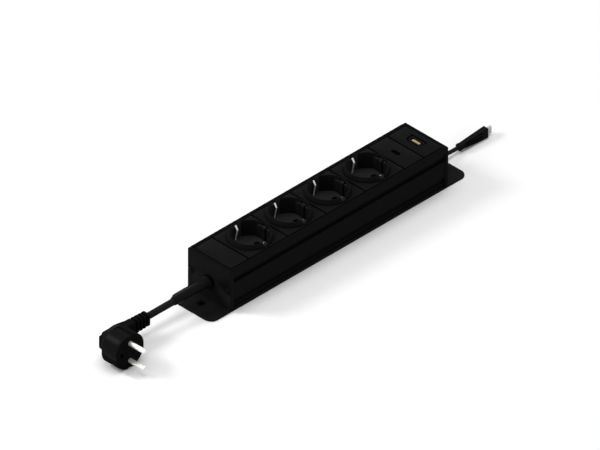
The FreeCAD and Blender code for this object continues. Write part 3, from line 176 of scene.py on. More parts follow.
@dataclass(frozen=True)
class Finish:
    """A surface, named for its material and for how it was made, or for the light or shade painted into it.
    Sizes and depths are millimetres.
    """

    name: str
    colour: str
    roughness: float
    grain: Grain
    grain_mm: float
    depth_mm: float
    metallic: float = 0.0
    specular: float = 0.5
    second_colour: str = ""
    cloud_mm: float = 14.0
    gloss_change: float = 0.06

    def stretch(self) -> Triple:
        """How far the pattern is drawn out along X: a drawn surface shows long fine lines."""
        return (0.04, 1.0, 1.0) if self.grain is Grain.DRAWN else (1.0, 1.0, 1.0)

    def build(self) -> bpy.types.Material:
        """Makes the material: a fine grain in bump and gloss, and broad soft clouds in colour and gloss.

        Returns:
            The material, read in object coordinates.
        """
        material = bpy.data.materials.new(self.name)
        material.use_nodes = True
        tree = material.node_tree
        tree.nodes.clear()
        place = add_node(tree, "ShaderNodeTexCoord").outputs["Object"]
        drawn = add_node(tree, "ShaderNodeMapping", {"Vector": place, "Scale": self.stretch()}).outputs[0]
        patterns = []
        for where, size, noise in ((drawn, self.grain_mm, FINE_NOISE), (place, self.cloud_mm, CLOUD_NOISE)):
            inputs = {"Vector": where, "Scale": 1 / (size * MM), "Detail": noise[0], "Roughness": noise[1]}
            patterns.append(add_node(tree, "ShaderNodeTexNoise", inputs).outputs["Fac"])
        fine, cloud = patterns
        shares = {0: fine, 1: FINE_SHARE, 2: cloud}
        mixed = add_node(tree, "ShaderNodeMath", shares, {"operation": "MULTIPLY_ADD"})
        gloss = add_node(
            tree,
            "ShaderNodeMapRange",
            {
                "Value": mixed.outputs[0],
                "From Min": MIXED_RANGE[0],
                "From Max": MIXED_RANGE[1],
                "To Min": max(self.roughness - self.gloss_change, LEAST_ROUGHNESS),
                "To Max": self.roughness + self.gloss_change,
            },
        )
        tone = add_node(
            tree,
            "ShaderNodeMixRGB",
            {
                "Fac": cloud,
                "Color1": linear(self.colour),
                "Color2": linear(self.second_colour or self.colour),
            },
        )
        bump = add_node(
            tree,
            "ShaderNodeBump",
            {"Height": fine, "Distance": self.depth_mm * MM, "Strength": BUMP_STRENGTH},
        )
        shader = add_node(
            tree,
            "ShaderNodeBsdfPrincipled",
            {
                "Base Color": tone.outputs[0],
                "Roughness": gloss.outputs[0],
                "Metallic": self.metallic,
                "Specular IOR Level": self.specular,
                "Normal": bump.outputs[0],
            },
        )
        add_node(tree, "ShaderNodeOutputMaterial", {"Surface": shader.outputs[0]})
        return material


# For each slot: material, colour, roughness, grain, its size and depth, metallic, specular, clouds' colour
FINISHES = {
    # The dye sits in a clear oxide, which shows fine drawn lines and no mirror
    "profile": Finish("anodised_extrusion", "#141415", 0.46, DRAWN, 0.35, 0.02, 0.0, 0.006, "#161617"),
    # The top border, dulled where it was sawn and eased: darker than the inserts that it holds
    "edge": Finish("anodised_sawn_edge", "#0c0c0d", 0.5, DRAWN, 0.3, 0.02, 0.0, 0.004, "#0e0e0f"),
    # A dull skin with a slight orange peel of about a millimetre
    "plate": Finish("powder_coated_steel", "#161616", 0.5, COATED, 0.9, 0.04, 0.0, 0.012, "#191919"),
    # From a spark-eroded tool: a dry even grain that never mirrors
    "insert": Finish("eroded_polycarbonate", "#131313", 0.42, MOULDED, 0.32, 0.03, 0.0, 0.008, "#151515"),
    # The same blend in a finer texture, which scatters more and so looks a shade paler on edge
    "cap": Finish("textured_polycarbonate", "#171717", 0.40, MOULDED, 0.28, 0.03, 0.0, 0.002, "#191919"),
    # Painted shade: a near black laid on steps, grooves, joints, rims and holes, where shade falls, so that
    # nearly no light returns
    "shade": Finish("painted_shade_black", "#060606", 0.6, MOULDED, 0.4, 0.04, 0.0, 0.002, "#080808"),
    # Painted light: a paler black laid inside the socket recess, against the shade that its walls cast: the
    # palest black here
    "recess": Finish("painted_light_polycarbonate", "#2b2b2b", 0.36, MOULDED, 0.3, 0.02, 0.0, 0.012, "#282828"),
    # Glass-filled and left its natural colour: chalky, with a faint yellow
    "carrier": Finish("moulded_polyester", "#c9c5b8", 0.6, MOULDED, 0.4, 0.04, 0.0, 0.5, "#b9b5a6"),
    # Dark and oily, with a low sheen on the heads
    "screw": Finish("black_oxide_steel", "#0c0c0d", 0.36, PLATED, 0.15, 0.01, 0.1, 0.02, "#101011"),
    # Pale, faintly blue and cloudy
    "zinc_screw": Finish("zinc_plated_steel", "#c3c6c8", 0.3, PLATED, 0.2, 0.01, 1.0, 0.5, "#b2b6b6"),
    # Bright and silky, so it keeps its light down in a recess
    "clip": Finish("tumbled_nickel_spring", "#f6f5f1", 0.42, PLATED, 0.12, 0.006, 0.35, 0.5, "#edece7"),
    # The same nickel painted darker on the clip faces chosen by where they turn: a painted shade
    "clip_painted_shade": Finish("painted_shade_nickel_spring", "#4a4a49", 0.5, PLATED, 0.12, 0.006, 0.3, 0.1, "#424241"),
    # The plug's earth strips, steel painted dark as a painted shade for the shade of its body
    "strip": Finish("painted_shade_steel_strip", "#101011", 0.4, PLATED, 0.12, 0.006, 0.0, 0.02, "#131314"),
    # Deep-drawn, bright nickel over a satin ground
    "tip": Finish("drawn_nickel_steel", "#a9a9a8", 0.3, PLATED, 0.15, 0.006, 1.0, 0.5, "#9c9c9c"),
    # Warm and softly mirrored, with the press's grain
    "contact": Finish("pressed_brass", "#d0a45c", 0.3, PLATED, 0.2, 0.01, 1.0, 0.5, "#b98d4c"),
    # Over nickel, bright but softened by its plating
    "gold": Finish("hard_gold_plate", "#b9a67c", 0.34, PLATED, 0.12, 0.004, 0.5, 0.3, "#b09b70"),
    # Folded shells, dark with a cold sheen
    "port": Finish("black_nickel_steel", "#1b1b1d", 0.36, PLATED, 0.15, 0.006, 0.6, 0.1, "#202022"),
    # Matt and darkest, since no light reaches far into a port
    "tongue": Finish("moulded_polyamide", "#0e0e0e", 0.5, MOULDED, 0.2, 0.01, 0.0, 0.02, "#121212"),
    # Glassy green over the weave of the board
    "board": Finish("solder_mask_epoxy", "#1d5a34", 0.35, COATED, 0.5, 0.02, 0.0, 0.5, "#194f2e"),
    # A wound core under yellow tape, which shines unevenly
    "winding": Finish("polyester_tape", "#c9a43a", 0.4, COATED, 0.8, 0.03, 0.0, 0.5, "#b8932f"),
    # Shrunk sleeve over a can: smooth, with a violet cast
    "can": Finish("sleeved_aluminium_can", "#2c2c44", 0.3, COATED, 0.6, 0.02, 0.2, 0.5, "#242438"),
    # Soft vinyl from a polished tool: an even skin whose low sheen gathers on its rounded edges
    "rubber": Finish(
        "satin_moulded_vinyl", "#101010", 0.27, MOULDED, 0.3, 0.012, 0.0, 0.018, "#131313",
        gloss_change=0.03,
    ),
    # The same where the tool was left dry, which takes the sheen off the plug's narrowing back
    "rubber_back": Finish("dry_moulded_vinyl", "#111111", 0.5, MOULDED, 0.3, 0.012, 0.0, 0.001, "#141414"),
    # The data plug's grip: a harder vinyl, polished on the crests that the fingers hold
    "grip": Finish("polished_grip_vinyl", "#161616", 0.36, MOULDED, 0.3, 0.012, 0.0, 0.006, "#191919"),
    # Drawn through a die, so its faint lines run along the cord
    "cord": Finish(
        "drawn_vinyl_jacket", "#161616", 0.3, DRAWN, 0.5, 0.02, 0.0, 0.03, "#191919",
        gloss_change=0.03,
    ),
    # The three inner sheaths, drawn and waxy: brown, blue, and green with yellow in it
    "live": Finish("brown_vinyl_sheath", "#6b3d22", 0.4, DRAWN, 0.3, 0.02, 0.0, 0.5, "#5f351d"),
    "neutral": Finish("blue_vinyl_sheath", "#2a63b8", 0.4, DRAWN, 0.3, 0.02, 0.0, 0.5, "#2558a6"),
    "earth": Finish("green_yellow_vinyl_sheath", "#6fae2e", 0.4, DRAWN, 0.3, 0.02, 0.0, 0.5, "#c2b730"),
    # The brightest metal here, with a turned gloss
    "pin": Finish("turned_nickel_brass", "#f8f7f3", 0.24, PLATED, 0.12, 0.004, 0.7, 0.5, "#efeee9"),
}


def face_places(mesh: bpy.types.Mesh) -> tuple[np.ndarray, np.ndarray]:
    """Where every face is and where it points.

    Args:
        mesh: the mesh.

    Returns:
        The faces' middles in millimetres and their outward directions, both shaped (faces, 3).
    """
    found = []
    for name, unit in (("center", MM), ("normal", 1.0)):
        flat = np.empty(len(mesh.polygons) * 3)
        mesh.polygons.foreach_get(name, flat)
        found.append(flat.reshape(-1, 3) / unit)
    return found[0], found[1]


class Paint:
    """Makes each finish once, and dresses pieces and solids with it."""

    def __init__(self, slots: dict[str, str]) -> None:
        """Keeps which material slot each solid has.

        Args:
            slots: node name to slot name.
        """
        self.slots = slots
        self.made: dict[str, bpy.types.Material] = {}

    def material(self, slot: str) -> bpy.types.Material:
        """The material of a slot, made at its first use.

        Args:
            slot: the finish's slot.

        Returns:
            The material.
        """
        if slot not in self.made:
            self.made[slot] = FINISHES[slot].build()
        return self.made[slot]

    def dress(self, piece: bpy.types.Object, slot: str) -> None:
        """Gives an object one finish in all its faces.

        Args:
            piece: a mesh or a curve.
            slot: the finish's slot.
        """
        piece.data.materials.clear()
        piece.data.materials.append(self.material(slot))

    def add(self, piece: bpy.types.Object, slot: str, *nodes: str, finish: str = "") -> bpy.types.Object:
        """Dresses a new piece, fixes it to the body and lets it stand for its solids.

        Args:
            piece: the new piece.
            slot: the slot of the solids.
            nodes: the solids that it replaces.
            finish: the finish's name, where it isn't the slot's own.

        Returns:
            The piece.
        """
        self.dress(piece, finish or slot)
        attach(piece, BODY)
        if nodes:
            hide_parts(*nodes)
        LOG.info("%s: %s for %s", piece.name, slot, ", ".join(nodes) or "nothing in the solids")
        return piece

    def part(self, piece: bpy.types.Object, finish: str, chosen: np.ndarray) -> None:
        """Gives some faces of a dressed piece another finish.

        Args:
            piece: the piece.
            finish: the other finish's name.
            chosen: true for the faces that take it.
        """
        mesh = piece.data
        index = np.empty(len(mesh.polygons), dtype=np.int32)
        mesh.polygons.foreach_get("material_index", index)
        mesh.materials.append(self.material(finish))
        index[chosen] = len(mesh.materials) - 1
        mesh.polygons.foreach_set("material_index", index)
        mesh.update()


# Surfaces


def place_object(name: str, data: bpy.types.ID) -> bpy.types.Object:
    """Adds an object to the scene.

    Args:
        name: the object's name.
        data: its mesh, curve, lamp or camera.

    Returns:
        The object.
    """
    made = bpy.data.objects.new(name, data)
    bpy.context.scene.collection.objects.link(made)
    return made


def slide(mesh: bpy.types.Mesh, share: float, shift: float) -> None:
    """Changes a mesh along X only: each place is multiplied and then moved.

    Args:
        mesh: the mesh.
        share: what X is multiplied by.
        shift: how far it then moves in millimetres.
    """
    places = np.empty(len(mesh.vertices) * 3)
    mesh.vertices.foreach_get("co", places)
    places[0::3] = places[0::3] * share + shift * MM
    mesh.vertices.foreach_set("co", places)
    mesh.update()


def about(radius: float, height: float, edge: Edge) -> list[Pair]:
    """The stations of an edge: each of its steps out and up, added to one radius and one height."""
    return [(radius + out, height + up) for out, up in edge]


def swept(stations: list[Pair], angle: np.ndarray) -> np.ndarray:
    """Rings whose points are radius times cosine, radius times sine, and height.

    Args:
        stations: a radius and a height for each ring, each one number or one for each angle.
        angle: the angles round Z.

    Returns:
        Points shaped (stations, angles, 3).
    """
    radius, height = (np.array([station[axis] + 0 * angle for station in stations]) for axis in (0, 1))
    return np.stack([radius * np.cos(angle), radius * np.sin(angle), height], axis=-1)


def ring_faces(rings: int, around: int) -> list[tuple[int, ...]]:
    """Faces of a closed tube of rings, with one flat face over each end.

    Args:
        rings: how many rings there are.
        around: how many points each ring has.

    Returns:
        Quads between neighbouring rings, then the two end faces.
    """
    index = np.arange(rings * around).reshape(rings, around)
    beside = np.roll(index, -1, axis=1)
    quads = np.stack([index[:-1], beside[:-1], beside[1:], index[1:]], axis=-1).reshape(-1, 4)
    return [*map(tuple, quads.tolist()), tuple(index[0, ::-1].tolist()), tuple(index[-1].tolist())]


def make_piece(name: str, rings: np.ndarray, sharp: float = SHARP) -> bpy.types.Object:
    """Makes a closed mesh from rings of points.

    Args:
        name: the piece's name.
        rings: points in millimetres, shaped (rings, around, 3).
        sharp: edges that turn by more degrees than this stay crisp.

    Returns:
        The object, with its place in its mesh.
    """
    mesh = bpy.data.meshes.new(name)
    faces = ring_faces(*rings.shape[:2])
    mesh.from_pydata((rings.reshape(-1, 3) * MM).tolist(), [], faces)
    piece = place_object(name, mesh)
    tidy(mesh, True, sharp)
    return piece


def tidy(mesh: bpy.types.Mesh, turn: bool, sharp: float) -> None:
    """Merges doubled points, turns faces outwards and shades smooth between crisp edges.

    Args:
        mesh: the mesh.
        turn: whether the faces need turning outwards.
        sharp: the crisp edges' least turn in degrees.
    """
    work = bmesh.new()
    work.from_mesh(mesh)
    bmesh.ops.remove_doubles(work, verts=work.verts, dist=SAME_POINT_MM * MM)
    bmesh.ops.dissolve_degenerate(work, edges=work.edges, dist=NO_EDGE_MM * MM)
    if turn:
        bmesh.ops.recalc_face_normals(work, faces=work.faces)
    work.to_mesh(mesh)
    work.free()
    mesh.shade_smooth()
    mesh.set_sharp_from_angle(angle=math.radians(sharp))


def softened(points: np.ndarray, radius: float, steps: int = 4) -> np.ndarray:
    """Rounds every corner of a closed outline.

    Each corner gives way to a parabola between the points that lie the radius away along its two sides,
    or a fixed share of the shorter side where that is less.

    Args:
        points: the outline's corners, shaped (corners, 2).
        radius: how far from its corner a curve starts.
        steps: how many chords each curve has.

    Returns:
        The rounded outline, shaped (corners * (steps + 1), 2).
    """
    back = np.roll(points, 1, axis=0) - points
    onward = np.roll(points, -1, axis=0) - points
    back_length = np.linalg.norm(back, axis=1, keepdims=True)
    onward_length = np.linalg.norm(onward, axis=1, keepdims=True)
    reach = np.minimum(radius, SIDE_SHARE * np.minimum(back_length, onward_length))
    start = (points + back / back_length * reach)[:, None]
    end = (points + onward / onward_length * reach)[:, None]
    way = np.linspace(0, 1, steps + 1)[None, :, None]
    curve = (1 - way) ** 2 * start + 2 * way * (1 - way) * points[:, None] + way**2 * end
    return curve.reshape(-1, 2)


def turned(profile: np.ndarray, around: int = ROUND) -> np.ndarray:
    """Turns a profile about Z: each point (radius, height) becomes a circle.

    Args:
        profile: radius and height, shaped (rings, 2).
        around: how many points each circle has.

    Returns:
        Rings shaped (rings, around, 3).
    """
    angle = np.linspace(0, 2 * math.pi, around, endpoint=False)[None, :]
    radius, height = profile[:, :1], profile[:, 1:]
    return np.stack([radius * np.cos(angle), radius * np.sin(angle), height + 0 * angle], axis=-1)


def aimed(rings: np.ndarray, origin: Triple, axis: Triple) -> np.ndarray:
    """Turns rings about Z to another axis and moves them.

    Args:
        rings: points about Z, shaped (rings, around, 3).
        origin: where the old origin goes.
        axis: where the old +Z points.

    Returns:
        The moved points.
    """
    turn = np.array(Vector((0, 0, 1)).rotation_difference(Vector(axis)).to_matrix())
    return rings @ turn.T + np.array(origin)


def rounded_sections(
    along: np.ndarray,
    half_width: np.ndarray,
    half_height: np.ndarray,
    corner: np.ndarray,
    shift: tuple[np.ndarray | float, np.ndarray | float] = (0.0, 0.0),
    per_arc: int = 24,
    per_side: int = 8,
) -> np.ndarray:
    """Stacks rounded rectangles, whose points keep their order from one section to the next.

    A point lies s * (half_width - corner) + corner * cos a across, and in the same way, with t, half_height
    and sin a, up. The angle a turns round each corner, and s or t slides between 1 and -1 along each side.

    Args:
        along: each section's place along its axis.
        half_width: half the width of each section.
        half_height: half the height of each section.
        corner: radius of each section's corners.
        shift: how far each section's centre lies across and up.
        per_arc: steps round a corner.
        per_side: points along a side.

    Returns:
        Across, along and up, shaped (sections, around, 3).
    """
    quarter = np.linspace(0, math.pi / 2, per_arc + 1)
    slide = np.linspace(1, -1, per_side + 2)[1:-1]
    angles, sides, rises = [], [], []
    for turn, (side, rise) in enumerate(((1, 1), (-1, 1), (-1, -1), (1, -1))):
        angles += [quarter + turn * math.pi / 2, np.full(per_side, (turn + 1) * math.pi / 2)]
        level = turn % 2 == 0
        sides += [np.full(per_arc + 1, side), side * (slide if level else np.ones(per_side))]
        rises += [np.full(per_arc + 1, rise), rise * (np.ones(per_side) if level else slide)]
    angle, side, rise = (np.concatenate(parts)[None, :] for parts in (angles, sides, rises))
    round_off = np.broadcast_to(corner, along.shape)[:, None]
    wide = np.broadcast_to(half_width, along.shape)[:, None] - round_off
    tall = np.broadcast_to(half_height, along.shape)[:, None] - round_off
    across, up = (np.broadcast_to(value, along.shape)[:, None] for value in shift)
    out = side * wide + round_off * np.cos(angle) + across
    high = rise * tall + round_off * np.sin(angle) + up
    return np.stack([out, along[:, None] + 0 * out, high], axis=-1)


def upright(corners: np.ndarray, levels: Pair) -> np.ndarray:
    """Carries an outline in X and Y straight up from one level to another.

    Args:
        corners: the outline, shaped (corners, 2).
        levels: the lower and the upper height.

    Returns:
        Two rings shaped (2, corners, 3).
    """
    heights = np.array(levels)[:, None] + 0 * corners[None, :, 0]
    flat = np.broadcast_to(corners, (len(levels), *corners.shape))
    return np.concatenate([flat, heights[..., None]], axis=-1)


def carve(piece: bpy.types.Object, tools: list[bpy.types.Object], sharp: float = SHARP) -> None:
    """Cuts tools out of a piece and removes them.

    Args:
        piece: the closed piece to cut.
        tools: closed pieces that mark the holes.
        sharp: the crisp edges' least turn in degrees.
    """
    for tool in tools:
        cut = piece.modifiers.new("cut", "BOOLEAN")
        cut.operation = "DIFFERENCE"
        cut.solver = "EXACT"
        cut.object = tool
    graph = bpy.context.evaluated_depsgraph_get()
    mesh = bpy.data.meshes.new_from_object(piece.evaluated_get(graph))
    piece.modifiers.clear()
    piece.data = mesh
    for tool in tools:
        bpy.data.objects.remove(tool)
    mesh.shade_smooth()
    mesh.set_sharp_from_angle(angle=math.radians(sharp))


def smooth_copy(name: str, solid: bpy.types.Object, edge_mm: float = 0.0) -> bpy.types.Object:
    """Copies a solid's mesh, merges it and shades its curves smooth, with its edges broken if wanted.

    Args:
        name: the piece's name.
        solid: the solid's object, which is left as it is.
        edge_mm: width of the broken edge, or 0 for none.

    Returns:
        The new piece.
    """
    mesh = solid.data.copy()
    mesh.name = name
    piece = place_object(name, mesh)
    tidy(mesh, False, SHARP_COPY)
    if edge_mm:
        work = bmesh.new()
        work.from_mesh(mesh)
        turn = math.radians(FLAT_TURN)
        bmesh.ops.dissolve_limit(
            work, angle_limit=turn, verts=work.verts, edges=work.edges, delimit={"NORMAL"}
        )
        work.to_mesh(mesh)
        work.free()
        broken = piece.modifiers.new("broken_edge", "BEVEL")
        broken.width = edge_mm * MM
        broken.segments = 2
        broken.limit_method = "ANGLE"
        broken.angle_limit = math.radians(BROKEN_TURN)
        broken.use_clamp_overlap = False
        broken.harden_normals = True
    return piece


# The housing


@dataclass
class Housing:
    """The extrusion on its base plate, the two end caps and the screws.

    The section's outside and inside list how far each corner lies in from the side and below the top.
    """

    half_width: float = 27.8
    top: float = 44.5
    foot: float = 2.0
    half_length: float = 136.2
    edge: float = 0.35
    plate_edge: float = 0.25
    border_depth: float = 0.3
    border_slope: float = 0.7
    fixing_place: float = 150.2
    fixing_head: float = 3.8
    fixing_shank: float = 2.2
    fixing_core: float = 0.3
    fixing_rim: float = 0.2
    fixing_low: float = 0.02
    fixing_sink: float = 0.1
    fixing_socket: float = 1.5
    fixing_socket_depth: float = 1.1
    outside: Edge = (
        (0.0, 0.0),
        (0.0, 5.1),
        (1.2, 5.1),
        (1.2, 9.2),
        (4.2, 9.2),
        (4.2, 14.6),
        (0.9, 14.6),
        (0.9, 31.9),
        (3.0, 33.8),
        (4.2, 33.8),
        (4.2, 38.4),
        (3.0, 38.4),
        (3.0, 42.5),
    )
    inside: Edge = (
        (6.0, 40.5),
        (6.0, 7.4),
        (5.2, 7.4),
        (5.2, 5.8),
        (6.0, 5.8),
        (6.0, 2.5),
        (3.65, 2.5),
        (3.65, 0.0),
    )

    def section(self) -> np.ndarray:
        """The extrusion's outline in Y and Z: one half from the inside out, and its mirror image.

        Returns:
            Its corners, shaped (corners, 2).
        """
        recess, depth = np.array(self.inside + self.outside).T
        half = np.stack([self.half_width - recess, self.top - depth], axis=1)
        return np.concatenate([half, (half * (-1, 1))[::-1]])

    def on_top(self, piece: bpy.types.Object) -> np.ndarray:
        """True for the faces of the narrow strip that borders the inserts."""
        middle, facing = face_places(piece.data)
        return (middle[:, 2] > self.top - self.border_depth) & (facing[:, 2] > self.border_slope)

    def fixing_screw(self, name: str, end: End) -> bpy.types.Object:
        """The countersunk screw in a tab's hole: a flat head with a hexagon socket, seen from above.

        Args:
            name: the piece's name.
            end: which end's tab it is in.

        Returns:
            The screw.
        """
        core, shank, head, rim = self.fixing_core, self.fixing_shank, self.fixing_head, self.fixing_rim
        low, top = self.fixing_low, self.foot - self.fixing_sink
        cone = [(shank, top - head + shank), (head, top - rim)]
        profile = np.array([(core, low), (shank, low), *cone, (head - rim, top), (core, top)])
        place = np.array((end.value * self.fixing_place, 0, 0))
        piece = make_piece(name, turned(profile, ROUND_HEAD) + place)
        levels = about(self.fixing_socket, top, ((0.0, -self.fixing_socket_depth), (0.0, 1.0)))
        carve(piece, [make_piece("socket", turned(np.array(levels), HEXAGON) + place)])
        return piece

    def build(self, paint: Paint, solids: dict[str, bpy.types.Object]) -> None:
        """Makes the extrusion with softened corners, and smooth copies of the plate, caps and screws.

        Args:
            paint: dresses the pieces.
            solids: the solids by name.
        """
        outline = softened(self.section(), self.edge)
        ends = np.array([-self.half_length, self.half_length])[:, None]
        along = ends + 0 * outline[None, :, 0]
        rings = np.stack([along, outline[None, :, 0] + 0 * along, outline[None, :, 1] + 0 * along], axis=-1)
        extrusion = paint.add(make_piece("extrusion", rings, SHARP_DRAWN), "profile", "housing_profile")
        paint.part(extrusion, "edge", self.on_top(extrusion))
        plate = smooth_copy("mounting_plate", solids["base_plate"], self.plate_edge)
        paint.add(plate, "plate", "base_plate")
        for end in End:
            stem = end.name.lower()
            cap = smooth_copy(f"{stem}_cap", solids[f"{stem}_end_cap"])
            paint.add(cap, "cap", f"{stem}_end_cap")
            paint.part(cap, "edge", self.on_top(cap))
            screws = smooth_copy(f"{stem}_screws", solids[f"{stem}_cap_screws"])
            paint.add(screws, "screw", f"{stem}_cap_screws")
            # The fixing screws take the painted shade, which stands in for the shade down in the tabs'
            # holes
            paint.add(self.fixing_screw(f"{stem}_fixing_screw", end), "screw", finish="shade")


# The sockets


@dataclass
class InsertEdge:
    """The outline that all inserts share: a flat plate whose rim steps down, so joints show as lines."""

    half_width: float = 24.05
    top: float = 44.5
    plate: float = 2.5
    step: float = 0.75
    step_depth: float = 1.6
    edge: float = 0.12
    # Where the rim's rounded edge runs: its share of the edge inwards and down
    edge_share: float = 0.3
    ledge_fall: float = 0.05

    def angles(self, half_length: float, steps: int) -> np.ndarray:
        """Even steps round the middle, with the four corners among them.

        Args:
            half_length: half the insert's length along the housing.
            steps: how many even steps there are.

        Returns:
            The angles in order.
        """
        corner = math.atan2(self.half_width, half_length)
        corners = np.array([corner, math.pi - corner, math.pi + corner, 2 * math.pi - corner])
        return np.unique(np.concatenate([np.linspace(0, 2 * math.pi, steps, endpoint=False), corners]))

    def reach(self, angle: np.ndarray, half_length: float, inset: float) -> np.ndarray:
        """Distance from the middle to the plate's outline: the nearer of its end and its side.

        Each is its own distance less the inset, over the cosine or the sine of the angle.

        Args:
            angle: the angles round the middle.
            half_length: half the insert's length along the housing.
            inset: how far the outline is taken in.

        Returns:
            One distance for each angle.
        """
        along = (half_length - inset) / np.maximum(np.abs(np.cos(angle)), TINY)
        across = (self.half_width - inset) / np.maximum(np.abs(np.sin(angle)), TINY)
        return np.minimum(along, across)

    def rim(self, angle: np.ndarray, half_length: float) -> list[tuple[np.ndarray, float]]:
        """The plate's rim as radius and height over the angle, from its flat top down to its underside.

        Args:
            angle: the angles round the middle.
            half_length: half the insert's length along the housing.

        Returns:
            The radius at every angle and the height, for each ring.
        """
        top, step, edge = self.top, self.step, self.edge
        low, part = top - self.step_depth, edge * self.edge_share
        stations = (
            (step + edge, top),
            (step + part, top - part),
            (step, top - edge),
            (step, low),
            (0.0, low - self.ledge_fall),
            (0.0, top - self.plate),
        )
        return [(self.reach(angle, half_length, inset), height) for inset, height in stations]


@dataclass
class SocketFace:
    """One moulded socket: a plate, a collar, and a flat-sided recess with ribs, notches and pin holes."""

    half_pitch: float = 24.925
    top: float = 44.5
    rim: float = 49.6
    floor: float = 32.1
    underside: float = 30.1
    recess: float = 19.5
    flat: float = 17.3
    rib: float = 16.6
    rib_half_width: float = 2.4
    rib_bevel: float = 1.3
    relief: float = 0.8
    rib_side: float = 0.6
    # How far off the recess wall, or below the plate, a face's middle may lie and still be in or out
    slack: float = 0.02
    flat_top: float = 45.5
    rib_top: float = 46.3
    foot: float = 21.6
    foot_groove: float = 0.5
    notch_half_angle: float = math.radians(9.5)
    notch_floor: float = 45.1
    hole: float = 2.8
    hole_place: float = 9.5
    slot_half_width: float = 1.6
    slot_reach: Pair = (17.2, 19.0)
    clip_share: float = 0.62
    clip_edge: float = 0.12
    core: float = 0.5
    skirt: float = 1.5
    wall_bevel: float = 0.3
    # Half the turn in which a wall along a ray stands
    wall_turn: float = 0.0006
    steps: int = 288
    # From the recess wall and floor, then from the ledge in shares of its bevel
    floor_edge: Edge = ((-0.4, 0.0), (-0.1, 0.1), (0.0, 0.4))
    ledge_edge: Edge = ((0.0, -1.0), (1 / 3, -0.5), (1.0, 0.0))
    ledge_rise: float = 0.02
    # From the recess and the collar's rim, then from the collar's foot and the plate
    collar: Edge = ((0.0, -0.4), (0.1, -0.1), (0.3, 0.0), (0.6, 0.0), (0.8, -0.12), (0.9, -0.5))
    foot_edge: Edge = ((-0.08, 1.55), (0.0, 1.3), (0.0, -0.5), (0.5, -0.5), (0.5, -0.05), (0.55, 0.0))
    # From a pin hole's wall and the recess floor: its funnel mouth
    mouth: Edge = ((0.0, -0.7), (0.15, -0.4), (0.6, 0.0), (0.6, 1.0))
    slot_rise: float = 0.3
    # Recess faces that turn to -X by more than this keep the insert's black instead of the painted light
    shaded_slope: float = -0.35
    # Where each clip's painted shade starts: on the far clip, faces that turn to +Y by more than the first;
    # on the near clip, faces that turn to +Y by less than the second
    far_shade_turn: float = 0.1
    near_shade_turn: float = 0.6
    centres: tuple[float, ...] = (-87.5, -37.5, 12.5, 62.5)
    outline: InsertEdge = field(default_factory=InsertEdge)

    def angles(self) -> np.ndarray:
        """Even steps round the socket, with pairs of close steps wherever a wall stands along a ray.

        Returns:
            The angles in order.
        """
        even = self.outline.angles(self.half_pitch, self.steps)
        flat_end = math.acos(self.flat / self.recess)
        rib_end = math.atan2(self.rib_half_width, self.rib)
        relief_end = math.atan2(self.rib_half_width + self.relief, self.flat)
        walls = np.array([rib_end, relief_end, math.pi / 2 - self.notch_half_angle])
        near = np.concatenate([[flat_end], walls - self.wall_turn, walls + self.wall_turn])
        all_round = np.concatenate([near, math.pi - near, math.pi + near, 2 * math.pi - near])
        return np.unique(np.concatenate([even, all_round]))

    def rings(self) -> np.ndarray:
        """The whole moulding as radius and height over the angle, from the recess floor out and back under.

        The recess wall is the nearer of a circle and a flat side, which lies at its distance over the
        cosine of the angle. The flat side comes nearer on a rib and lies farther out in its reliefs.

        Returns:
            Rings about the socket's own axis, shaped (rings, around, 3).
        """
        angle = self.angles()
        cosine, sine = np.abs(np.cos(angle)), np.abs(np.sin(angle))
        aside = np.arctan2(sine, cosine)
        on_rib = aside < math.atan2(self.rib_half_width, self.rib)
        in_relief = ~on_rib & (aside < math.atan2(self.rib_half_width + self.relief, self.flat))
        in_notch = np.arctan2(cosine, sine) < self.notch_half_angle
        wall = np.where(on_rib, self.rib, self.flat + self.relief * in_relief) / np.maximum(cosine, TINY)
        inner = np.minimum(wall, self.recess)
        ledge = np.where(on_rib, self.rib_top, self.flat_top)
        bevel = np.where(on_rib, self.rib_bevel, self.wall_bevel)
        top, recess = self.top, self.recess
        stations = [(self.core, self.floor), *about(inner, self.floor, self.floor_edge)]
        stations += [
            (np.minimum(inner + bevel * out, recess), ledge + bevel * up) for out, up in self.ledge_edge
        ]
        stations.append((recess, ledge + self.ledge_rise))
        stations += about(recess, self.rim, self.collar) + about(self.foot, top, self.foot_edge)
        stations += self.outline.rim(angle, self.half_pitch)
        skirt = recess + self.skirt
        stations += [(skirt, top - self.outline.plate), (skirt, self.underside)]
        stations.append((self.core, self.underside))
        rings = swept(stations, angle)
        opened = np.minimum(rings[..., 2], self.notch_floor)
        rings[..., 2] = np.where(in_notch, opened, rings[..., 2])
        return rings

    def hole_tools(self) -> list[bpy.types.Object]:
        """Cutters for the two pin holes, each with a funnel mouth, and for the two clip slots.

        Returns:
            The four cutters about the socket's own axis.
        """
        mouth = about(self.hole, self.floor, self.mouth)
        profile = np.array([(self.hole, self.underside - 1), *mouth])
        levels = (self.underside - 1, self.floor + self.slot_rise)
        half, (near, far) = self.slot_half_width, self.slot_reach
        tools = []
        for sign in (-1, 1):
            rings = turned(profile, ROUND_SMALL) + np.array((sign * self.hole_place, 0, 0))
            tools.append(make_piece("pin_hole", rings))
            corners = np.array([(-half, near), (half, near), (half, far), (-half, far)]) * (1, sign)
            tools.append(make_piece("clip_slot", upright(corners, levels)))
        return tools

    def shade(self, piece: bpy.types.Object, centre: float, paint: Paint) -> None:
        """Paints a paler black into the recess as painted light, except on walls that turn to -X, and
        painted shade into the groove at the collar's foot, the rim's step and the ribs' reliefs.

        Args:
            piece: the socket, which has its first finish.
            centre: the socket's place along the housing.
            paint: makes the finishes.
        """
        middle, facing = face_places(piece.data)
        along, across, up = np.abs(middle[:, 0] - centre), np.abs(middle[:, 1]), middle[:, 2]
        out = np.hypot(along, across)
        inside = (out < self.recess + self.slack) & (up > self.floor - 2 * NEAR)
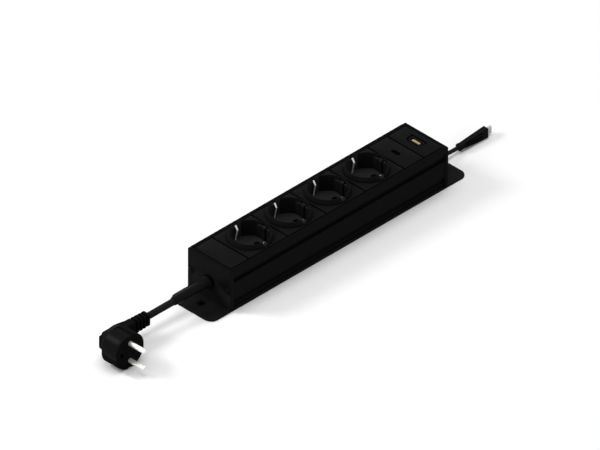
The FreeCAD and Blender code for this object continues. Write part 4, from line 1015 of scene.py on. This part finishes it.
        # Painted light in the recess
        paint.part(piece, "recess", inside & (facing[:, 0] > self.shaded_slope))
        # Painted shade in the groove at the collar's foot, on the rim's step and beside the ribs
        foot_end = self.foot + self.foot_groove
        groove = (out > self.foot - NEAR) & (out < foot_end + NEAR) & (up < self.top - self.slack)
        step = (out > self.foot + 1) & (up < self.top - NEAR)
        beside = np.abs(across - self.rib_half_width - self.relief / 2) < self.rib_side
        paint.part(piece, "shade", groove | step | (inside & (along > self.flat - self.relief) & beside))

    def build(self, paint: Paint, solids: dict[str, bpy.types.Object]) -> None:
        """Makes the moulding once, carves its holes and sets a copy at each socket, with its earth clips.

        Args:
            paint: dresses the pieces.
            solids: the solids by name.
        """
        pattern = make_piece("socket_pattern", self.rings())
        carve(pattern, self.hole_tools())
        for number, centre in enumerate(self.centres, 1):
            mesh = pattern.data.copy()
            slide(mesh, 1.0, centre)
            piece = place_object(f"socket_{number}", mesh)
            paint.add(piece, "insert", f"socket_insert_{number}")
            self.shade(piece, centre, paint)
            clip = smooth_copy(f"earth_clip_{number}", solids[f"earth_bracket_{number}"], self.clip_edge)
            paint.add(clip, "clip", f"earth_bracket_{number}")
            slide(clip.data, self.clip_share, centre * (1 - self.clip_share))
            # Part of each clip takes the painted shade, chosen by where its faces turn
            middle, facing = face_places(clip.data)
            far_arm_shaded, near_arm_shaded = facing[:, 1] > self.far_shade_turn, facing[:, 1] < self.near_shade_turn
            paint.part(clip, "clip_painted_shade", np.where(middle[:, 1] > 0, far_arm_shaded, near_arm_shaded))
        bpy.data.objects.remove(pattern)


@dataclass
class PortFaces:
    """The three plain inserts: the blank one, the charger's with its slot and the data port's frame."""

    joint: float = 0.075
    spans: tuple[tuple[str, float, float], ...] = (
        ("blank_insert", -136.2, -112.5),
        ("charger_insert", 87.5, 112.5),
        ("data_insert", 112.5, 136.2),
    )
    slot: Pair = (10.2, 4.5)
    port_x: float = 125.95
    frame: Triple = (10.7, 19.4, 3.0)
    frame_depth: float = 0.9
    core: float = 0.5
    steps: int = 96
    opening: Triple = (6.8, 15.8, 1.9)
    outline: InsertEdge = field(default_factory=InsertEdge)

    def blank(self, name: str, start: float, end: float) -> bpy.types.Object:
        """A plain insert between two places along the housing.

        Args:
            name: the piece's name.
            start: the joint before it.
            end: the joint after it.

        Returns:
            The piece.
        """
        half = (end - start) / 2 - self.joint
        angle = self.outline.angles(half, self.steps)
        top = self.outline.top
        rim = self.outline.rim(angle, half)
        rings = swept([(self.core, top), *rim, (self.core, top - self.outline.plate)], angle)
        return make_piece(name, rings + np.array(((start + end) / 2, 0, 0)))

    def clipped(self, size: Triple) -> np.ndarray:
        """A rectangle, long across the housing, with its two corners at -X cut off.

        Args:
            size: its width, its length and how much the cut takes off each side.

        Returns:
            Its six corners.
        """
        x, y, clip = size[0] / 2, size[1] / 2, size[2]
        cut = [(-x + clip, y), (-x, y - clip), (-x, -y + clip), (-x + clip, -y)]
        return np.array([(x, -y), (x, y), *cut]) + (self.port_x, 0)

    def tools(self, name: str, start: float, end: float) -> list[bpy.types.Object]:
        """Cutters for the openings of one insert.

        Args:
            name: the solid's name.
            start: the joint before it.
            end: the joint after it.

        Returns:
            The cutters, or none for the blank insert.
        """
        top = self.outline.top
        through = (top - self.outline.plate - 1, top + 1)
        if name == "charger_insert":
            length, width = self.slot
            ends = rounded_sections(
                np.array(through), width / 2, length / 2, width / 2, per_arc=12, per_side=2
            )
            rings = np.stack([ends[..., 0] + (start + end) / 2, ends[..., 2], ends[..., 1]], axis=-1)
            return [make_piece("slot", rings)]
        if name == "data_insert":
            frame = upright(self.clipped(self.frame), (top - self.frame_depth, top + 1))
            opening = upright(self.clipped(self.opening), through)
            return [make_piece("frame", frame), make_piece("opening", opening)]
        return []

    def build(self, paint: Paint, solids: dict[str, bpy.types.Object]) -> None:
        """Makes the three inserts and cuts their openings.

        Args:
            paint: dresses the pieces.
            solids: the solids by name; not used.
        """
        for name, start, end in self.spans:
            piece = self.blank(name.replace("insert", "face"), start, end)
            tools = self.tools(name, start, end)
            if tools:
                carve(piece, tools)
            paint.add(piece, "insert", name)
            # Every face below the top, on the rim's step and in the openings, takes a painted shade
            middle, _ = face_places(piece.data)
            paint.part(piece, "shade", middle[:, 2] < self.outline.top - NEAR)


# The mains lead


@dataclass
class MainsLead:
    """The gland with its bend sleeve, the cord, and the angled plug that lies on the table."""

    flange_face: float = -144.0
    height: float = 21.6
    cord: float = 6.8
    drift: float = 3.3
    flange: float = 6.7
    flange_depth: float = 4.0
    neck: float = 5.5
    sleeve_length: float = 40.5
    sleeve_root: float = 4.5
    sleeve_tip: float = 4.1
    end: float = -217.2
    plug_x: float = -266.5
    face: float = -24.7
    radius: float = 18.3
    boss: float = 18.5
    shoulder: float = 18.0
    shoulder_corner: float = 17.0
    back: float = 32.2
    back_shift: float = 5.0
    back_half_width: float = 9.75
    back_half_height: float = 8.0
    back_corner: float = 2.4
    groove: float = 1.4
    groove_half_width: float = 2.7
    seat_half_width: float = 3.0
    pin_place: float = 9.5
    bore_radius: float = 2.4
    bore_place: float = -10.0
    bore_depth: float = 14.0
    # Stations of the plug's sleeve: place beyond the boss's middle, half width and half height
    sleeve_stations: tuple[Triple, ...] = (
        (-8.0, 4.4, 7.0),
        (2.0, 5.0, 8.2),
        (8.0, 5.5, 8.85),
        (11.0, 5.6, 9.0),
        (15.0, 5.45, 8.7),
        (24.8, 4.75, 7.4),
        (49.3, 4.7, 6.3),
    )
    sleeve_corner: float = 1.8
    sleeve_offset: float = 0.6
    ring_count: int = 4
    ring_pitch: float = 4.4
    ring_gap: float = 2.2
    ring_start: float = 3.3
    ring_depth: float = 1.1
    # From the flange's back, its face, the sleeve's root and its tip: out and along
    flange_back: Edge = ((-0.12, 0.0), (0.0, 0.12))
    flange_rim: Edge = ((0.0, -0.8), (-0.12, -0.35), (-0.4, -0.08), (-0.8, 0.0))
    sleeve_foot: Edge = ((0.5, 0.0), (0.12, 0.15), (0.0, 0.6))
    sleeve_end: Edge = ((0.02, -0.9), (-0.1, -0.3), (-0.3, -0.05), (-0.5, 0.0))
    neck_length: float = 2.0
    squeeze: float = 0.05
    shaded_rim: float = 0.25
    # Places along the plug's boss and before its back's end, each with how far the section is drawn in
    face_edge: Edge = ((0.0, 0.6), (0.12, 0.3), (0.4, 0.08), (0.8, 0.0), (4.0, 0.0))
    back_edge: Edge = ((0.45, 0.08), (0.15, 0.3), (0.0, 0.75))
    shoulder_gap: float = 0.15
    back_gap: float = 0.8
    back_steps: int = 14
    # The sleeve: steps along it, its tip's places and rounding, and how steep a ring's wall is
    sleeve_steps: int = 46
    tip_places: tuple[float, ...] = (0.0, 0.15, 0.45)
    tip_edge: float = 0.5
    wall_run: float = 0.08
    # Radius and place of a pin's stations, out of the face
    pin_profile: Edge = ((2.4, -3.0), (2.4, 18.2), (2.3, 18.55), (2.05, 18.82), (1.6, 18.97), (0.2, 19.0))
    # A face is satin while it turns to Y by less than the first, and to +X and down by less than the second
    satin: Pair = (0.3, 0.1)
    strip_edge: float = 0.2
    cord_knots: tuple[float, ...] = (-163.0, -182.0, -201.0)

    def follow(self, rings: np.ndarray) -> np.ndarray:
        """Lets points beyond the flange drift back and fall with the cord, the more the farther out.

        Args:
            rings: points about the cord's line at the cap.

        Returns:
            The moved points.
        """
        share = np.maximum(self.flange_face - rings[..., 0], 0) / (self.flange_face - self.end)
        sag = self.height - self.radius
        return rings + np.stack([0 * share, self.drift * share, -sag * share], axis=-1)

    def gland(self) -> np.ndarray:
        """A flange with rounded edges and a tapered sleeve, turned about the cord's own falling line.

        Returns:
            Its rings.
        """
        depth, length, tip = self.flange_depth, self.sleeve_length, self.sleeve_tip
        stations = [(self.neck, -depth - self.neck_length), (self.neck, -depth)]
        stations += about(self.flange, -depth, self.flange_back) + about(self.flange, 0, self.flange_rim)
        stations += about(self.sleeve_root, 0, self.sleeve_foot) + about(tip, length, self.sleeve_end)
        stations.append((self.cord / 2 - self.squeeze, length))
        rings = turned(np.array(stations))
        return self.follow(aimed(rings, (self.flange_face, 0, self.height), (-1, 0, 0)))

    def plug_back(self) -> np.ndarray:
        """The moulding behind the face: a grooved round boss, then straight lines in to a small rectangle.

        Between the shoulder and the back every size changes in proportion to the way gone. The reach across
        or up is cut back in the four grooves of the boss.

        Returns:
            Its rings.
        """
        boss, back, radius = self.boss, self.back, self.radius
        face, rear = np.array([*self.face_edge, (boss - self.shoulder_gap, 0.0)]), np.array(self.back_edge)
        way = np.linspace(0, 1, self.back_steps)
        taper = boss + (back - self.back_gap - boss) * way
        along = np.concatenate([face[:, 0], taper, back - rear[:, 0]])
        inset = np.concatenate([face[:, 1], 0 * way, rear[:, 1]])
        change = np.concatenate([np.zeros(len(face)), way, np.ones(len(rear))])
        on_boss = along < boss

        def between(start: float, end: float, whole: float) -> np.ndarray:
            """A size of every section: the boss's own, then from the shoulder's to the back's."""
            return np.where(on_boss, whole, start + (end - start) * change)

        corner = between(self.shoulder_corner, self.back_corner, radius) - inset
        rings = rounded_sections(
            along,
            between(self.shoulder, self.back_half_width, radius) - inset,
            between(self.shoulder, self.back_half_height, radius) - inset,
            corner,
            (self.back_shift * change, 0.0),
            per_arc=180,
            per_side=3,
        )
        across, up = rings[..., 0], rings[..., 2]
        floor = radius - self.groove * on_boss[:, None]
        guide = (np.abs(across) < self.groove_half_width) & on_boss[:, None]
        seat = (np.abs(up) < self.seat_half_width) & on_boss[:, None]
        rings[..., 2] = np.where(guide, np.sign(up) * np.minimum(np.abs(up), floor), up)
        rings[..., 0] = np.where(seat, np.sign(across) * np.minimum(np.abs(across), floor), across)
        return rings + np.array((self.plug_x, self.face, self.radius))

    def plug_sleeve(self) -> np.ndarray:
        """The plug's sleeve: out of the back, tapering, to square rings over a thin core.

        Between the stations its width and height change in proportion. Both draw in by the rings' depth
        between two rings, and by the square of the way into the tip's edge.

        Returns:
            Its rings.
        """
        stations = np.array(self.sleeve_stations)
        start, end = stations[0, 0], stations[-1, 0]
        grooves = self.ring_start + self.ring_pitch * np.arange(self.ring_count)
        walls = np.array([0.0, self.wall_run, self.ring_gap - self.wall_run, self.ring_gap])
        cuts = end - (grooves[:, None] + walls).ravel()
        tip = end - np.array(self.tip_places)
        along = np.unique(np.concatenate([np.linspace(start, end - 1, self.sleeve_steps), cuts, tip]))
        back = end - along
        into = (back - self.ring_start) % self.ring_pitch
        ringed = (back > self.ring_start) & (back < self.ring_start + self.ring_pitch * self.ring_count)
        ringed &= (into > self.wall_run / 2) & (into < self.ring_gap - self.wall_run / 2)
        edge = self.tip_edge
        inset = self.ring_depth * ringed + edge * np.clip(1 - back / edge, 0, 1) ** 2
        wide = np.interp(along, stations[:, 0], stations[:, 1]) - inset
        tall = np.interp(along, stations[:, 0], stations[:, 2]) - inset
        corner = self.sleeve_corner - inset / 2
        sections = rounded_sections(along, wide, tall, corner, per_arc=10, per_side=6)
        across, length, up = (sections[..., axis] for axis in range(3))
        moved = np.stack([length, across, up], axis=-1)
        place = (self.plug_x, self.drift - self.sleeve_offset, self.radius - self.sleeve_offset)
        return moved + np.array(place)

    def pin(self, sign: int) -> np.ndarray:
        """One turned pin with a domed tip.

        Args:
            sign: 1 for the upper pin and -1 for the lower one.

        Returns:
            The pin's rings.
        """
        rings = turned(np.array(self.pin_profile), ROUND_SMALL)
        return aimed(rings, (self.plug_x, self.face, self.radius + self.pin_place * sign), (0, -1, 0))

    def cord_curve(self) -> bpy.types.Object:
        """The cord's own line: the straight run of the solid, on a smooth spline.

        Returns:
            The cord's object.
        """
        x = np.array([self.flange_face, *self.cord_knots, self.end])
        line = np.stack([x, 0 * x, self.height + 0 * x], axis=1)
        return spline_cord("cord", self.follow(line), self.cord)

    def build(self, paint: Paint, solids: dict[str, bpy.types.Object]) -> None:
        """Makes the lead from the cap to the plug's pins.

        Args:
            paint: dresses the pieces.
            solids: the solids by name.
        """
        cord = paint.add(self.cord_curve(), "cord", "mains_cord")
        gland = paint.add(make_piece("bend_sleeve", self.gland()), "rubber", "cord_gland")
        # The flange's rim takes a painted shade: a dark ring where it meets the cap
        middle, _ = face_places(gland.data)
        rim = np.hypot(middle[:, 1], middle[:, 2] - self.height) > self.flange - self.shaded_rim
        paint.part(gland, "shade", rim & (middle[:, 0] > self.flange_face - NEAR))
        plug = make_piece("plug", self.plug_back(), SHARP_MOULDED)
        levels = about(self.bore_radius, 0, ((0.0, -1.0), (0.0, self.bore_depth)))
        bore = turned(np.array(levels), ROUND_SMALL)
        place = (self.plug_x + self.bore_place, self.face, self.radius)
        carve(plug, [make_piece("earth_bore", aimed(bore, place, (0, 1, 0)))], SHARP_MOULDED)
        paint.add(plug, "rubber", "plug_body")
        _, facing = face_places(plug.data)
        along, turned_off = self.satin
        satin = (np.abs(facing[:, 1]) < along) & (facing[:, 0] < turned_off) & (facing[:, 2] > -turned_off)
        paint.part(plug, "rubber_back", ~satin)
        sleeve = make_piece("plug_sleeve", self.plug_sleeve(), SHARP_MOULDED)
        paint.add(sleeve, "rubber", finish="rubber_back")
        # The grooves between the sleeve's rings take a painted shade
        middle, _ = face_places(sleeve.data)
        back = self.sleeve_stations[-1][0] + self.plug_x - middle[:, 0] - self.ring_start
        ringed = (back > 0) & (back < self.ring_pitch * self.ring_count)
        paint.part(sleeve, "shade", ringed & (back % self.ring_pitch < self.ring_gap))
        pins = [make_piece(f"pin_{name}", self.pin(sign)) for name, sign in (("upper", 1), ("lower", -1))]
        for pin in pins:
            paint.add(pin, "pin", "plug_pins")
        strips = smooth_copy("plug_strips", solids["plug_earth_strips"], self.strip_edge)
        # The earth strips take the painted shade of the strip finish
        paint.add(strips, "clip", "plug_earth_strips", finish="strip")


def spline_cord(name: str, points: np.ndarray, diameter: float) -> bpy.types.Object:
    """A round cord on a smooth spline that is steered by the points.

    Args:
        name: the piece's name.
        points: the route's points in millimetres, shaped (points, 3).
        diameter: the cord's diameter in millimetres.

    Returns:
        The curve's object.
    """
    curve = bpy.data.curves.new(name, "CURVE")
    curve.dimensions = "3D"
    curve.bevel_depth = diameter / 2 * MM
    curve.bevel_resolution = 12
    curve.resolution_u = 16
    spline = curve.splines.new("NURBS")
    spline.points.add(len(points) - 1)
    weighted = np.concatenate([points * MM, np.ones((len(points), 1))], axis=1)
    spline.points.foreach_set("co", weighted.astype(np.float32).ravel())
    spline.order_u = 3
    spline.use_endpoint_u = True
    return place_object(name, curve)


# The data lead


@dataclass
class DataLead:
    """The thin lead at the far end: its bush, its cord and a ridged plug with a metal tip."""

    cap_face: float = 140.0
    height: float = 10.8
    cord: float = 4.0
    lying: float = 5.4
    start: float = 183.9
    drift: float = 4.4
    length: float = 36.4
    route: tuple[Triple, ...] = (
        (140.0, 0.0, 10.8),
        (153.0, 0.0, 10.8),
        (173.4, 4.4, 5.4),
        (183.9, 4.4, 5.4),
    )
    steps: int = 60
    # Half width and half height at the collar, and what each gains on the way to the nose
    half_width: Pair = (3.0, 0.3)
    half_height: Pair = (2.8, 2.6)
    corner: Pair = (1.0, 0.3)
    swell: float = 0.9
    # The waist behind the collar: where it starts, how soon it is reached and how deep it is
    waist: Triple = (3.2, 0.4, 0.35)
    nose_round: float = 0.5
    collar_round: float = 0.4
    round_depth: float = 0.4
    extra_places: tuple[float, ...] = (0.3, 3.2, 3.6, 36.0)
    # Furrows: how deep, how many, how steep, over what share of the side, from where and up to where
    furrow: float = 1.1
    furrows: int = 3
    furrow_slope: float = 1.8
    furrow_share: float = 0.84
    furrow_start: float = 6.0
    furrow_end: float = 7.0
    furrow_run: float = 1.5
    # Which faces count as sunk and take a painted shade in the furrows: half the width across, and places
    # from the collar and from the nose
    sunk: Triple = (2.72, 7.0, 7.5)
    # Radius and place of the bush's stations, out of the cap
    bush_profile: Edge = (
        (3.3, -3.0),
        (3.3, 0),
        (4.3, 0),
        (4.4, 0.15),
        (4.4, 0.9),
        (4.15, 1.3),
        (3.7, 1.5),
        (2.0, 1.5),
    )

    def plug(self) -> np.ndarray:
        """The moulding: a tapered bar whose sides carry furrows between its collar and its nose.

        The half height grows with a power of the way gone. A furrow's depth follows the cosine of the
        height on the side, kept between nothing and the whole depth, and fades out at both ends.

        Returns:
            Its rings.
        """
        along = np.concatenate([np.linspace(0, self.length, self.steps), np.array(self.extra_places)])
        along = np.unique(along)
        way = along / self.length
        before_nose = self.length - along
        ends = np.clip(1 - before_nose / self.nose_round, 0, 1) ** 2
        ends = ends + np.clip(1 - along / self.collar_round, 0, 1) ** 2
        start, run, depth = self.waist
        waist = np.clip((along - start) / run, 0, 1) * depth * (1 - way)
        drawn_in = waist + self.round_depth * ends
        wide = self.half_width[0] + self.half_width[1] * way - drawn_in
        tall = self.half_height[0] + self.half_height[1] * way**self.swell - drawn_in
        corner = self.corner[0] + self.corner[1] * way - self.round_depth / 2 * ends
        rings = rounded_sections(along, wide, tall, corner, per_arc=12, per_side=40)
        level = rings[..., 2] / tall[:, None]
        band = np.clip((along - self.furrow_start) / self.furrow_run, 0, 1)
        band = band * np.clip((before_nose - self.furrow_end) / self.furrow_run, 0, 1)
        wave = np.clip(np.cos(level * self.furrows * math.pi) * self.furrow_slope, 0, 1)
        furrow = self.furrow * wave * (np.abs(level) < self.furrow_share)
        rings[..., 0] -= np.sign(rings[..., 0]) * furrow * band[:, None]
        across, length, up = (rings[..., axis] for axis in range(3))
        return np.stack([length + self.start, across + self.drift, up + self.lying], axis=-1)

    def furrowed(self, middle: np.ndarray) -> np.ndarray:
        """How far above and below the plug's middle its furrows reach, at each face's place."""
        way = (middle[:, 0] - self.start) / self.length
        return self.furrow_share * (self.half_height[0] + self.half_height[1] * way**self.swell)

    def bush(self) -> np.ndarray:
        """A small turned grommet: a rounded flange outside the cap and a short nose round the cord."""
        return aimed(turned(np.array(self.bush_profile)), (self.cap_face, 0, self.height), (1, 0, 0))

    def build(self, paint: Paint, solids: dict[str, bpy.types.Object]) -> None:
        """Makes the lead from the cap to the metal tip.

        Args:
            paint: dresses the pieces.
            solids: the solids by name.
        """
        cord = paint.add(spline_cord("data_lead", np.array(self.route), self.cord), "cord", "data_cord")
        bush = paint.add(make_piece("bush", self.bush()), "rubber", "data_bush")
        moulding = make_piece("data_plug", self.plug(), SHARP_MOULDED)
        plug = paint.add(moulding, "rubber", "data_plug_body", finish="grip")
        # The furrows take a painted shade
        middle, _ = face_places(plug.data)
        across, start, end = self.sunk
        along = middle[:, 0] - self.start
        sunk = (np.abs(middle[:, 1] - self.drift) < across) & (along > start) & (along < self.length - end)
        paint.part(plug, "shade", sunk & (np.abs(middle[:, 2] - self.lying) < self.furrowed(middle)))
        shell = smooth_copy("data_tip", solids["data_plug_shell"])
        tip = paint.add(shell, "port", "data_plug_shell", finish="tip")


# The studio


@dataclass
class Studio:
    """A white table, soft lamps and a camera that looks down a cube's diagonal with no perspective."""

    aim: Triple = (-17.8, 5.4, 20.0)
    width: float = 545.3
    distance: float = 2000.0
    ambient: float = 0.2
    floor_size: float = 6000.0
    floor_grey: float = 0.5
    # Name, place and side in metres, power in watts
    lamps: tuple[tuple[str, Triple, float, float], ...] = (
        ("overhead", (-0.4, 0.2, 4.0), 2.8, 66.0),
        ("right_top", (0.85, 0.0, 1.4), 0.6, 5.0),
        ("left_rear", (-0.9, 0.98, 1.04), 0.55, 13.0),
        ("front", (0.2, -1.6, 0.5), 1.0, 4.5),
        ("left", (-1.5, -0.1, 0.6), 0.8, 5.0),
    )

    def camera(self) -> None:
        """Places the camera on the photograph's line of sight."""
        data = bpy.data.cameras.new("camera")
        data.type = "ORTHO"
        data.ortho_scale = self.width * MM
        data.clip_end = 20.0
        camera = place_object("camera", data)
        sight = Vector((-1, -1, 1)).normalized()
        camera.location = (Vector(self.aim) + sight * self.distance) * MM
        camera.rotation_euler = sight.to_track_quat("Z", "Y").to_euler()
        bpy.context.scene.camera = camera

    def lamp(self, name: str, place: Triple, size: float, power: float) -> None:
        """Adds a square soft lamp that points at the module.

        Args:
            name: the lamp's name.
            place: where it hangs, in metres.
            size: its side, in metres.
            power: in watts.
        """
        data = bpy.data.lights.new(name, "AREA")
        data.size = size
        data.energy = power
        lamp = place_object(name, data)
        lamp.location = place
        lamp.rotation_euler = Vector(place).to_track_quat("Z", "Y").to_euler()

    def seen_white(self, tree: bpy.types.NodeTree, level: float) -> bpy.types.NodeSocket:
        """White for rays from the camera and for rays in gloss and glass, and a grey for all others.

        Args:
            tree: the node tree to add to.
            level: the grey for the other rays.

        Returns:
            The colour.
        """
        path = add_node(tree, "ShaderNodeLightPath")
        share = path.outputs["Is Camera Ray"]
        clamped = {"operation": "ADD", "use_clamp": True}
        for name in ("Is Glossy Ray", "Is Transmission Ray"):
            share = add_node(tree, "ShaderNodeMath", {0: share, 1: path.outputs[name]}, clamped).outputs[0]
        grey = (level, level, level, 1)
        colours = {"Fac": share, "Color1": grey, "Color2": (1, 1, 1, 1)}
        return add_node(tree, "ShaderNodeMixRGB", colours).outputs[0]

    def world(self) -> None:
        """A white surround for the eye and a plain level of light for the object."""
        world = bpy.data.worlds.new("surround")
        world.use_nodes = True
        tree = world.node_tree
        tree.nodes.clear()
        seen = self.seen_white(tree, self.ambient)
        back = add_node(tree, "ShaderNodeBackground", {"Color": seen, "Strength": 1.0})
        add_node(tree, "ShaderNodeOutputWorld", {"Surface": back.outputs[0]})
        bpy.context.scene.world = world

    def floor(self) -> None:
        """A white matt table that keeps the object's shadow."""
        half = self.floor_size / 2 * MM
        mesh = bpy.data.meshes.new("table")
        corners = np.array([(-1, -1, 0), (1, -1, 0), (1, 1, 0), (-1, 1, 0)]) * half
        mesh.from_pydata(corners.tolist(), [], [(0, 1, 2, 3)])
        table = place_object("table", mesh)
        material = bpy.data.materials.new("table_white")
        material.use_nodes = True
        tree = material.node_tree
        tree.nodes.clear()
        matt = add_node(tree, "ShaderNodeBsdfDiffuse", {"Color": self.seen_white(tree, self.floor_grey)})
        add_node(tree, "ShaderNodeOutputMaterial", {"Surface": matt.outputs[0]})
        mesh.materials.append(material)

    def build(self) -> None:
        """Sets up the view, the light and the table."""
        bpy.context.scene.view_settings.view_transform = "Standard"
        self.camera()
        self.world()
        self.floor()
        for lamp in self.lamps:
            self.lamp(*lamp)


def main() -> None:
    """Loads the solids, builds each sub-assembly over them and dresses what is left."""
    logging.basicConfig(level=logging.INFO, format="%(name)s: %(message)s")
    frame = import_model()
    solids = frame["nodes"]
    slots = {part["node"]: part["material_slot"] for part in frame["record"]["subparts"]}
    Studio().build()
    paint = Paint(slots)
    for part in (MainsLead(), DataLead(), Housing(), SocketFace(), PortFaces()):
        LOG.info("building %s", type(part).__name__)
        part.build(paint, solids)
    for name, solid in solids.items():
        # The charger's port shell takes the painted shade, for the shade inside its slot
        paint.dress(solid, "shade" if name == "charger_port_shell" else slots[name])


if __name__ == "__main__":
    main()
